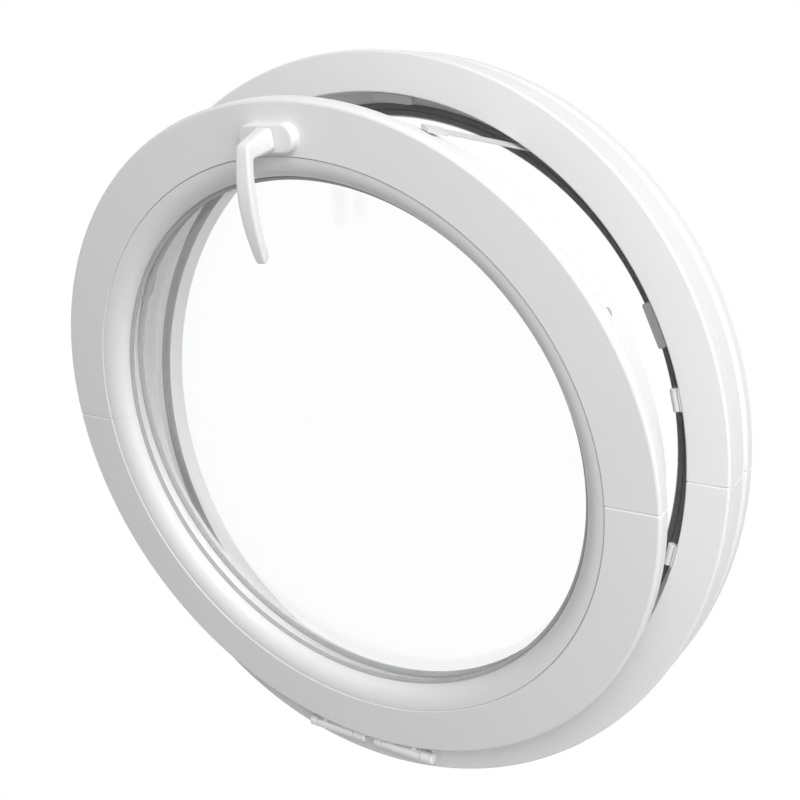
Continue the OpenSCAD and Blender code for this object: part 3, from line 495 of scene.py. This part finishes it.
class Finish:
    """A material that is built node by node."""

    def __init__(self, name):
        self.material = bpy.data.materials.new(name)
        self.material.use_nodes = True
        nodes = self.material.node_tree.nodes
        self.shader = nodes["Principled BSDF"]
        self.output = nodes["Material Output"]

    def node(self, kind, output=0, settings=None, places=None, **sockets):
        """Adds a node: its settings first, then the values or links of its sockets, by number or by name."""
        node = self.material.node_tree.nodes.new(kind)
        for key, value in (settings or {}).items():
            setattr(node, key, value)
        for key, item in (places or {}).items():
            plug(self.material, node.inputs[key], item)
        for key, item in sockets.items():
            plug(self.material, node.inputs[key.replace("_", " ")], item)
        return Value(self.material, node.outputs[output])

    def shade(self, **sockets):
        """Sets the sockets of the material's own shader."""
        for key, item in sockets.items():
            plug(self.material, self.shader.inputs[key.replace("_", " ")], item)
        return self.material

    def mix_in(self, other, factor):
        """Blends the material's own shader with another on the surface."""
        own = Value(self.material, self.shader.outputs[0])
        surface = self.node("ShaderNodeMixShader", places={0: factor, 1: own, 2: other})
        plug(self.material, self.output.inputs["Surface"], surface)
        return self.material

    def noise(self, scale, detail):
        """A noise that is even all over the piece, from nothing to one."""
        place = self.node("ShaderNodeTexCoord", "Object")
        return self.node("ShaderNodeTexNoise", "Fac", Vector=place, Scale=scale, Detail=detail)

    def tint(self, shade, amount, factor):
        """A colour that is darkened a little where a factor says so."""
        dark = [part * (1 - amount) for part in shade]
        return self.node("ShaderNodeMix", 2, {"data_type": "RGBA"}, {0: factor, 6: shade, 7: dark})

    def bump(self, height, distance):
        """A relief from a height."""
        return self.node("ShaderNodeBump", Height=height, Distance=distance, Strength=1.0)


def skin(name, shade, cloud, mottle, rough, rough_spread, grain=0, relief=0, cloud_detail=2.0,
         grain_detail=2.0, **sockets):
    """A surface with a faint cloud in its colour and its shine, and a fine grain where it has a relief.

    cloud and grain are scales, mottle is how much the cloud darkens, and relief is the grain's depth.
    """
    finish = Finish(name)
    clouds = finish.noise(cloud, cloud_detail)
    if relief:
        sockets["Normal"] = finish.bump(finish.noise(grain, grain_detail), relief)
    return finish.shade(Base_Color=finish.tint(shade, mottle, clouds),
                        Roughness=rough + rough_spread * clouds, **sockets)


def colours():
    """The finishes' colours."""
    return bpy.context.scene.porthole_colours


def made_once(build):
    """Builds a finish the first time that it is asked for, and hands it out again later."""
    made = {}

    def give():
        if "finish" not in made:
            made["finish"] = build()
        return made["finish"]
    return give


@made_once
def white_pvc():
    """Extruded white profile: satin, with a fine grain and a slight unevenness."""
    return skin("white_pvc", colours().white_pvc, cloud=9.0, cloud_detail=3.0, mottle=0.035, rough=0.30,
                rough_spread=0.12, grain=900.0, relief=0.00004, Coat_Weight=0.08, Coat_Roughness=0.25)


@made_once
def white_lacquer():
    """Smooth white lacquer on metal, with a fine orange-peel surface."""
    return skin("white_lacquer", colours().white_lacquer, cloud=30.0, mottle=0.03, rough=0.22,
                rough_spread=0.10, grain=420.0, grain_detail=1.0, relief=0.000008, Coat_Weight=0.25,
                Coat_Roughness=0.12)


@made_once
def white_nylon():
    """Moulded white nylon, a little dull."""
    return skin("white_nylon", colours().white_nylon, cloud=60.0, mottle=0.05, rough=0.42, rough_spread=0.12,
                grain=1500.0, relief=0.00005)


def soft_rubber(name, shade):
    """Dull rubber with a fine skin."""
    return skin(name, shade, cloud=45.0, mottle=0.18, rough=0.58, rough_spread=0.2, grain=1800.0,
                relief=0.00008)


@made_once
def dark_rubber():
    """Dark rubber of the seal on the stop lip and of the glass unit's edge."""
    return soft_rubber("dark_rubber", colours().dark_rubber)


@made_once
def grey_rubber():
    """Grey rubber of the glazing gaskets and the flange seal."""
    return soft_rubber("grey_rubber", colours().grey_rubber)


def painted_metal(name, shade):
    """Painted casting or bar, with a slightly grained skin."""
    return skin(name, shade, cloud=70.0, mottle=0.10, rough=0.36, rough_spread=0.16, grain=1100.0,
                relief=0.00006)


@made_once
def grey_casting():
    """Grey die-cast metal of the keeps, the gearbox and the handle's base."""
    return painted_metal("grey_casting", colours().grey_casting)


@made_once
def grey_lacquer():
    """Light grey lacquer of the stay arm."""
    return painted_metal("grey_lacquer", colours().grey_lacquer)


def bare_metal(name, shade, rough, mottle):
    """Plated or drawn metal with a faint cloud in its shine."""
    return skin(name, shade, cloud=130.0, cloud_detail=4.0, mottle=mottle, rough=rough, rough_spread=0.2,
                grain=2200.0, relief=0.00003, Metallic=1.0)


@made_once
def zinc_steel():
    """Bright zinc-plated steel."""
    return bare_metal("zinc_steel", colours().zinc, rough=0.22, mottle=0.14)


@made_once
def spacer_metal():
    """Matte drawn bar between the panes."""
    return bare_metal("spacer_metal", colours().spacer, rough=0.50, mottle=0.05)


@made_once
def block_plastic():
    """Dark moulded plastic of the setting blocks."""
    return skin("block_plastic", colours().block, cloud=80.0, mottle=0.15, rough=0.45, rough_spread=0.15)


@made_once
def clear_glass():
    """Clear coated glass, a little more mirroring than plain glass, that lets the lamps through."""
    finish = Finish("clear_glass")
    finish.shade(Base_Color=colours().glass, Roughness=0.0, IOR=1.5, Transmission_Weight=1.0,
                 Specular_IOR_Level=1.0)
    clear = finish.node("ShaderNodeBsdfTransparent", Color=colours().glass)
    return finish.mix_in(clear, finish.node("ShaderNodeLightPath", "Is Shadow Ray"))


# Stage


class PORTHOLE_OT_stage(bpy.types.Operator):
    """Set the camera, the lamps, the pale floor and the white surroundings"""

    bl_idname = "porthole.stage"
    bl_label = "Stage"

    def execute(self, context):
        stage = context.scene.porthole_stage
        context.scene.view_settings.view_transform = "Standard"
        self.camera(context, stage)
        self.lamp(stage, stage.key_from, stage.key_level)
        self.lamp(stage, stage.fill_from, stage.fill_level)
        self.sky(context, stage)
        self.floor(stage)
        return {"FINISHED"}

    def camera(self, context, stage):
        """Adds the camera at the viewing angle."""
        object_mode()
        bpy.ops.object.camera_add(location=stage.camera_place)
        camera = context.object
        azimuth, elevation, roll = stage.camera_turn
        look = Matrix.Rotation(azimuth, 3, "Z") @ Matrix.Rotation(math.pi / 2 - elevation, 3, "X")
        camera.rotation_euler = (look @ Matrix.Rotation(roll, 3, "Z")).to_euler()
        camera.data.lens = stage.lens
        context.scene.camera = camera

    def lamp(self, stage, source, strength):
        """Adds a broad lamp, turned to the window, that lights a face square to it at about its level."""
        object_mode()
        place = Vector(source).normalized() * stage.lamp_distance
        bpy.ops.object.light_add(type="AREA", location=place)
        lamp = bpy.context.object
        lamp.rotation_euler = place.to_track_quat("Z", "Y").to_euler()
        lamp.data.size = stage.lamp_size
        lamp.data.energy = strength * (math.pi * stage.lamp_distance) ** 2

    def sky(self, context, stage):
        """Lights the window from all round, and shows plain white behind it."""
        world = bpy.data.worlds.new("surroundings")
        context.scene.world = world
        world.use_nodes = True
        background = world.node_tree.nodes["Background"]
        plug(world, background.inputs["Color"], (1, 1, 1))
        plug(world, background.inputs["Strength"], stage.sky_level + (1 - stage.sky_level) * seen(world))

    def floor(self, stage):
        """Lays a pale floor well below the window, near white to the eye but still taking its shadow."""
        object_mode()
        bpy.ops.mesh.primitive_plane_add(size=stage.floor_size, location=(0, 0, -stage.floor_drop))
        floor = bpy.context.object
        floor.name = "floor"
        finish = Finish("pale_floor")
        finish.shade(Base_Color=stage.floor_tone, Roughness=0.9)
        glow = finish.node("ShaderNodeEmission", Color=(1, 1, 1), Strength=stage.floor_white)
        floor.data.materials.append(finish.mix_in(glow, seen(finish.material) * stage.floor_glow))


# Pieces


class PORTHOLE_OT_frame_ring(bpy.types.Operator):
    """Model the fixed ring: its section, spun as two welded halves"""

    bl_idname = "porthole.frame_ring"
    bl_label = "Frame ring"

    def execute(self, context):
        s = context.scene.porthole_frame
        soft = s.soft_edge
        line_end = s.line_place + s.line_width
        groove_end = s.groove_place + s.groove_width
        root_in = s.seal_middle - s.seal_root / 2
        root_out = s.seal_middle + s.seal_root / 2
        slope = s.groove_depth / 3
        chamfer = s.edge / 2
        corners = [
            (at(s.rebate, 0), s.inner_edge),
            (at(s.outer, 0), s.edge),
            (at(s.outer, -s.line_place), soft / 2),
            (at(s.outer - s.line_depth, -s.line_place), 0),
            (at(s.outer - s.line_depth, -line_end), 0),
            (at(s.outer, -line_end), soft / 2),
            (at(s.outer, -s.groove_place), soft),
            (at(s.outer - s.groove_depth, -s.groove_place - slope), soft),
            (at(s.outer - s.groove_depth, -groove_end + slope), soft),
            (at(s.outer, -groove_end), soft),
            (at(s.outer, -s.depth), chamfer),
            (at(s.stop, -s.depth), s.edge),
            (at(s.stop, -s.stop_depth), s.inner_edge),
            (at(root_in, -s.stop_depth), soft / 2),
            (at(root_in, -s.stop_depth - s.seal_root), 0),
            (at(root_out, -s.stop_depth - s.seal_root), 0),
            (at(root_out, -s.stop_depth), soft / 2),
            (at(s.rebate, -s.stop_depth), soft),
        ]
        piece = draw_section("frame_profile", corners)
        spin_half(s.stop, SEAM_FLANK)
        weld_second_half()
        finish_piece(piece, "frame", "frame_ring", white_pvc())
        return {"FINISHED"}


class PORTHOLE_OT_sash_ring(bpy.types.Operator):
    """Model the tilting ring: its section, spun as two welded halves"""

    bl_idname = "porthole.sash_ring"
    bl_label = "Sash ring"

    def execute(self, context):
        s = context.scene.porthole_sash
        soft = context.scene.porthole_frame.soft_edge
        line_top = s.line_level + s.line
        seal_in = s.seal_middle - s.seal_width / 2
        seal_out = s.seal_middle + s.seal_width / 2
        root = s.flange + s.seal_width / 2
        groove_front = -s.groove_middle + s.groove_half
        groove_back = -s.groove_middle - s.groove_half
        corners = [
            (at(s.glazing, s.face), s.face_edge),
            (at(s.rim, s.face), s.edge),
            (at(s.rim, line_top), soft / 2),
            (at(s.rim - s.line, line_top), 0),
            (at(s.rim - s.line, s.line_level), 0),
            (at(s.rim, s.line_level), soft / 2),
            (at(s.rim, s.flange), s.face_edge),
            (at(seal_out, s.flange), 0),
            (at(seal_out, root), 0),
            (at(seal_in, root), 0),
            (at(seal_in, s.flange), 0),
            (at(s.body, s.flange), soft),
            (at(s.body, groove_front), soft / 2),
            (at(s.groove_floor, groove_front), 0),
            (at(s.groove_floor, groove_back), 0),
            (at(s.body, groove_back), soft / 2),
            (at(s.body, -s.rear), s.face_edge),
            (at(s.lip + s.lip_slope, -s.rear), s.face_edge),
            (at(s.lip, -s.rear + s.lip_slope), s.face_edge),
            (at(s.lip, -s.lip_depth), soft),
            (at(s.glazing, -s.lip_depth), 0),
        ]
        piece = draw_section("sash_profile", corners)
        spin_half(s.lip, SEAM_FLANK)
        weld_second_half()
        tilt_open()
        finish_piece(piece, "sash", "sash_ring", white_pvc())
        return {"FINISHED"}


class PORTHOLE_OT_beads(bpy.types.Operator):
    """Model the two halves of the quarter-round glazing bead"""

    bl_idname = "porthole.beads"
    bl_label = "Glazing beads"

    def execute(self, context):
        sash = context.scene.porthole_sash
        s = context.scene.porthole_glazing
        top = sash.glazing - sash.face_edge / 3
        rise = sash.face - s.bead_drop
        corners = []
        for step in reversed(range(s.bead_steps + 1)):
            angle = math.pi / 2 * step / s.bead_steps
            corners.append((at(top - (top - s.bead) * math.sin(angle), rise * math.cos(angle)), 0))
        corners.append((at(top, 0), 0))
        for name, half_turns in (("bead_upper", 0), ("bead_lower", 1)):
            piece = draw_section(name + "_half", corners)
            spin_half(s.bead, JOINT_FLANK)
            pick_all()
            turn(math.pi * half_turns, "Y")
            tilt_open()
            finish_piece(piece, "sash", name, white_pvc())
        return {"FINISHED"}


class PORTHOLE_OT_seals(bpy.types.Operator):
    """Model the soft seals and the glazing gaskets"""

    bl_idname = "porthole.seals"
    bl_label = "Seals and gaskets"

    def execute(self, context):
        sash, s = context.scene.porthole_sash, context.scene.porthole_glazing
        self.frame_seal(context.scene.porthole_frame)
        self.sash_seal(sash)
        self.gasket("gasket_inner", s, s.bead, s.gasket_reach, -s.gasket, 1)
        self.gasket("gasket_outer", s, sash.lip, s.outer_reach, -s.gasket - s.unit, -1)
        return {"FINISHED"}

    def frame_seal(self, s):
        """The broad dark pad on the stop lip, with a raised lip on each side of a valley."""
        low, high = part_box("frame_seal")
        outer, top = high.x, FACE_Y - low.y
        inner = 2 * s.seal_middle - outer
        root_in = s.seal_middle - s.seal_root / 2 + s.soft_edge / 2
        root_out = s.seal_middle + s.seal_root / 2 - s.soft_edge / 2
        root_depth = -s.stop_depth - s.seal_root + s.soft_edge
        valley = s.soft_edge * 2
        corners = [
            (at(root_in, root_depth), 0),
            (at(root_out, root_depth), 0),
            (at(root_out, -s.stop_depth), 0),
            (at(outer, -s.stop_depth), 0),
            (at(outer, top), s.inner_edge),
            (at(s.seal_middle + valley, top), s.soft_edge),
            (at(s.seal_middle, top - valley), 0),
            (at(s.seal_middle - valley, top), s.soft_edge),
            (at(inner, top), s.inner_edge),
            (at(inner, -s.stop_depth), 0),
            (at(root_in, -s.stop_depth), 0),
        ]
        piece = draw_section("frame_seal_strip", corners)
        spin_full()
        finish_piece(piece, "frame", "frame_seal", dark_rubber())

    def sash_seal(self, s):
        """The narrow light seal under the flange, round on its free side."""
        half = s.seal_width / 2 * SEAL_FILL
        root, free = s.flange + half, s.flange * SEAL_FREE
        rounding = half * SEAL_ROUND
        corners = [
            (at(s.seal_middle - half, root), 0),
            (at(s.seal_middle + half, root), 0),
            (at(s.seal_middle + half, free), rounding),
            (at(s.seal_middle - half, free), rounding),
        ]
        piece = draw_section("sash_seal_strip", corners)
        spin_full()
        tilt_open()
        finish_piece(piece, "sash", "sash_seal", grey_rubber())

    def gasket(self, name, s, radius, reach, glass, side):
        """A gasket with a flat root and two ribbed lips that step down to the glass."""
        back = side * s.gasket
        step = reach / REACH_STEPS
        corners = [
            (at(radius - reach, glass), 0),
            (at(radius + s.gasket_width, glass), 0),
            (at(radius + s.gasket_width, glass + back), 0),
            (at(radius, glass + back), 0),
        ]
        for steps, height, rounding in GASKET_RIBS:
            corners.append((at(radius - steps * step, glass + back * height), step * rounding))
        piece = draw_section(name + "_strip", corners)
        spin_full()
        tilt_open()
        finish_piece(piece, "sash", name, grey_rubber())


class PORTHOLE_OT_handle(bpy.types.Operator):
    """Model the rosette and the bowed lever with its neck"""

    bl_idname = "porthole.handle"
    bl_label = "Handle"

    def execute(self, context):
        s = context.scene.porthole_handle
        sash = context.scene.porthole_sash
        place = Vector((0, FACE_Y - sash.face, sash.rim - s.inset))
        self.rosette(s, place)
        self.lever(s, place)
        return {"FINISHED"}

    def rosette(self, s, place):
        """A pill with a rounded front edge."""
        radius = s.rosette_width / 2
        piece = start("rosette_cover", bpy.ops.mesh.primitive_circle_add, vertices=ROSETTE_STEPS,
                      radius=radius, fill_type="NGON")
        for side in (-1, 1):
            pick(lambda vertex: vertex.co.x * side > TINY)
            move((side * (s.rosette_length / 2 - radius), 0, 0))
        pick_all()
        extrude((0, 0, s.rosette_height))
        pick(lambda edge: all(vertex.co.z > TINY for vertex in edge.verts), "EDGE")
        bpy.ops.mesh.bevel(offset=s.rosette_edge, segments=ROSETTE_EDGE_STEPS)
        clean()
        stand_up(place)
        tilt_open()
        finish_piece(piece, "sash", "handle_cover", white_lacquer())

    def lever(self, s, place):
        """A bar that is drawn up ring by ring from its tip, over the knee and down into a round neck."""
        piece = start("lever_bar", bpy.ops.mesh.primitive_plane_add, size=1)
        pick_all()
        bpy.ops.mesh.bevel(offset=s.lever_edge, segments=CORNER_STEPS, affect="VERTICES")
        pick_all()
        last = None
        for front, back, width, roundness in (*self.bar_rings(s), *self.neck_rings(s)):
            if last:
                extrude((0, 0, 0))
                self.lift_ring(*last)
            self.round_ring(roundness)
            last = (front, back, width)
            self.lay_ring(*last)
        clean()
        stand_up(place)
        tilt_open()
        object_mode()
        apply_modifier(piece, "SUBSURF", levels=LEVER_SUBDIVISIONS, render_levels=LEVER_SUBDIVISIONS)
        finish_piece(piece, "handle", "handle_lever", white_lacquer())

    def bar_rings(self, s):
        """Rings from the slanted tip up the bar: front and back in the side view, width and roundness."""
        tip = s.tip_round / s.lever_length
        rings = [(1 - part * tip, size) for part, size in TIP_RINGS]
        first = s.belly / 2
        for step in range(s.lever_steps - 1, 0, -1):
            rings.append((first + (1 - first) * step / s.lever_steps, 1))
        return [self.bar_ring(s, along, size) for along, size in rings]

    def bar_ring(self, s, along, size):
        """One ring across the bar, square to its bow and slanted more and more towards the tip."""
        climb = s.lever_tip - s.lever_height
        # The middle line is a parabola that stands out by the bow halfway along
        slope = climb + 4 * s.lever_bow * (1 - 2 * along)
        height = s.lever_height + climb * along + 4 * s.lever_bow * along * (1 - along)
        middle = Vector((0, -along * s.lever_length, height))
        out = Vector((0, slope, s.lever_length)).normalized() * s.lever_thick / 2 * size
        slant = Vector((0, -s.tip_slant / 2 * size * along ** SLANT_POWER, 0))
        return middle + out + slant, middle - out - slant, self.bar_width(s, along) * size, 0

    def bar_width(self, s, along):
        """Width of the bar: slim at the knee, widest at the belly, narrow at the tip."""
        return s.lever_width * (1 - s.narrowing * (along - s.belly) ** 2)

    def neck_rings(self, s):
        """Rings over the knee and down the neck, which grows rounder towards its base."""
        low = s.rosette_height + s.neck_gap
        half = s.neck_base / 2
        soft = s.lever_thick * KNEE_SOFT
        width = self.bar_width(s, 0)
        base_front, base_back = Vector((0, half, low)), Vector((0, -half, low))
        front = Vector((0, s.knee_top, s.lever_height + s.lever_thick / 2))
        back = Vector((0, -s.knee_back, s.lever_height - s.lever_thick * KNEE_DROP))
        rings = []
        for shift in (Vector((0, -soft, soft / 2)), Vector((0, soft / 2, -soft))):
            rings.append((front + shift, back + shift, width, 0))
        for down, roundness in NECK_RINGS:
            rings.append((front.lerp(base_front, down), back.lerp(base_back, down),
                          width + (s.neck_base - width) * down, roundness))
        return rings

    def ring_place(self, front, back):
        """Middle, depth and turn of a ring between its front and its back."""
        across = front - back
        return (front + back) / 2, across.length, math.atan2(across.z, across.y)

    def lay_ring(self, front, back, width):
        """Lays the unit ring that is selected across the lever."""
        middle, depth, angle = self.ring_place(front, back)
        resize((width, depth, 1))
        turn(angle, "X")
        move(middle)

    def lift_ring(self, front, back, width):
        """Takes the selected ring back to its unit form, flat at the origin."""
        middle, depth, angle = self.ring_place(front, back)
        move(-middle)
        turn(-angle, "X")
        resize((1 / width, 1 / depth, 1))

    def round_ring(self, roundness):
        """Draws the selected unit ring towards a circle of its own width."""
        if roundness:
            bpy.ops.transform.tosphere(value=roundness, center_override=(0, 0, 0))
            mesh = bmesh.from_edit_mesh(bpy.context.object.data)
            ring = [vertex.co for vertex in mesh.verts if vertex.select]
            resize((0.5 / max(co.x for co in ring), 0.5 / max(co.y for co in ring), 1))


COPIES = (
    # piece, packed node, body, slot, finish, greatest edge rounding
    ("keep_right_cast", "keep_right", "frame", "grey_casting", grey_casting, 0.0005),
    ("keep_top_cast", "keep_top", "frame", "grey_casting", grey_casting, 0.0005),
    ("keep_left_cast", "keep_left", "frame", "grey_casting", grey_casting, 0.0005),
    ("guide_buffers_right_nylon", "guide_buffers_right", "frame", "white_nylon", white_nylon, 0.0003),
    ("guide_buffers_left_nylon", "guide_buffers_left", "frame", "white_nylon", white_nylon, 0.0003),
    ("hinge_left_knuckles_cast", "hinge_left_knuckles", "frame", "white_lacquer", white_lacquer, 0.0010),
    ("hinge_left_cap_turned", "hinge_left_cap", "frame", "white_lacquer", white_lacquer, 0.0009),
    ("hinge_left_barrel_cast", "hinge_left_barrel", "sash", "white_lacquer", white_lacquer, 0.0010),
    ("hinge_right_knuckles_cast", "hinge_right_knuckles", "frame", "white_lacquer", white_lacquer, 0.0010),
    ("hinge_right_cap_turned", "hinge_right_cap", "frame", "white_lacquer", white_lacquer, 0.0009),
    ("hinge_right_barrel_cast", "hinge_right_barrel", "sash", "white_lacquer", white_lacquer, 0.0010),
    ("stay_arm_bar", "stay_arm", "stay", "grey_lacquer", grey_lacquer, 0.0004),
    ("stay_shoe_nylon", "stay_shoe", "stay", "white_nylon", white_nylon, 0.0002),
    ("faceplate_strip", "faceplate", "sash", "zinc_steel", zinc_steel, 0.0003),
    ("locking_cams_turned", "locking_cams", "drive", "zinc_steel", zinc_steel, 0.0004),
)


class PORTHOLE_OT_fittings(bpy.types.Operator):
    """Dress the hinges, keeps, buffers, stay and locking drive, with rounded edges where there is room"""

    bl_idname = "porthole.fittings"
    bl_label = "Fittings"

    def execute(self, context):
        for name, node, body, slot, material, edge in COPIES:
            # With the clamp, the hinges' knuckles and barrels would keep almost no rounding
            piece = refine_copy(node, name, edge, clamp=not node.startswith("hinge"))
            finish_piece(piece, body, node, material())
        return {"FINISHED"}


CARRIED_OVER = {
    "pane_inner": clear_glass,
    "pane_outer": clear_glass,
    "spacer_bar": spacer_metal,
    "edge_sealant": dark_rubber,
    "setting_blocks": block_plastic,
    "keep_screws": zinc_steel,
    "stay_pin": zinc_steel,
    "hinge_left_pin": zinc_steel,
    "hinge_right_pin": zinc_steel,
    "faceplate_screws": zinc_steel,
    "gearbox_case": grey_casting,
    "handle_base": grey_casting,
    "handle_screws": zinc_steel,
    "handle_spindle": zinc_steel,
    "pinion": zinc_steel,
    "drive_rod": zinc_steel,
}


class PORTHOLE_OT_carried_over(bpy.types.Operator):
    """Give the pieces that are shown as packed their finish"""

    bl_idname = "porthole.carried_over"
    bl_label = "Glass and inner pieces"

    def execute(self, context):
        for node, material in CARRIED_OVER.items():
            piece = frame["nodes"][node]
            piece.data.materials.clear()
            piece.data.materials.append(material())
        return {"FINISHED"}


GROUPS = {
    "porthole_frame": FrameSizes,
    "porthole_sash": SashSizes,
    "porthole_glazing": GlazingSizes,
    "porthole_handle": HandleSizes,
    "porthole_colours": FinishColours,
    "porthole_stage": StageSettings,
}
OPERATORS = (
    PORTHOLE_OT_stage,
    PORTHOLE_OT_frame_ring,
    PORTHOLE_OT_sash_ring,
    PORTHOLE_OT_beads,
    PORTHOLE_OT_seals,
    PORTHOLE_OT_handle,
    PORTHOLE_OT_fittings,
    PORTHOLE_OT_carried_over,
)


class PORTHOLE_PT_panel(bpy.types.Panel):
    """Sizes and steps of the porthole window"""

    bl_idname = "PORTHOLE_PT_panel"
    bl_label = "Porthole window"
    bl_space_type = "VIEW_3D"
    bl_region_type = "UI"
    bl_category = "Porthole"

    def draw(self, context):
        for operator in OPERATORS:
            self.layout.operator(operator.bl_idname)
        for key, group in GROUPS.items():
            box = self.layout.box()
            box.label(text=group.__doc__)
            for name in group.__annotations__:
                box.prop(getattr(context.scene, key), name)


CLASSES = (*GROUPS.values(), *OPERATORS, PORTHOLE_PT_panel)


def register():
    for item in CLASSES:
        bpy.utils.register_class(item)
    for key, group in GROUPS.items():
        setattr(bpy.types.Scene, key, PointerProperty(type=group))


def unregister():
    for key in GROUPS:
        delattr(bpy.types.Scene, key)
    for item in reversed(CLASSES):
        bpy.utils.unregister_class(item)


def main():
    register()
    for operator in OPERATORS:
        group, name = operator.bl_idname.split(".")
        getattr(getattr(bpy.ops, group), name)()


if __name__ == "__main__":
    main()
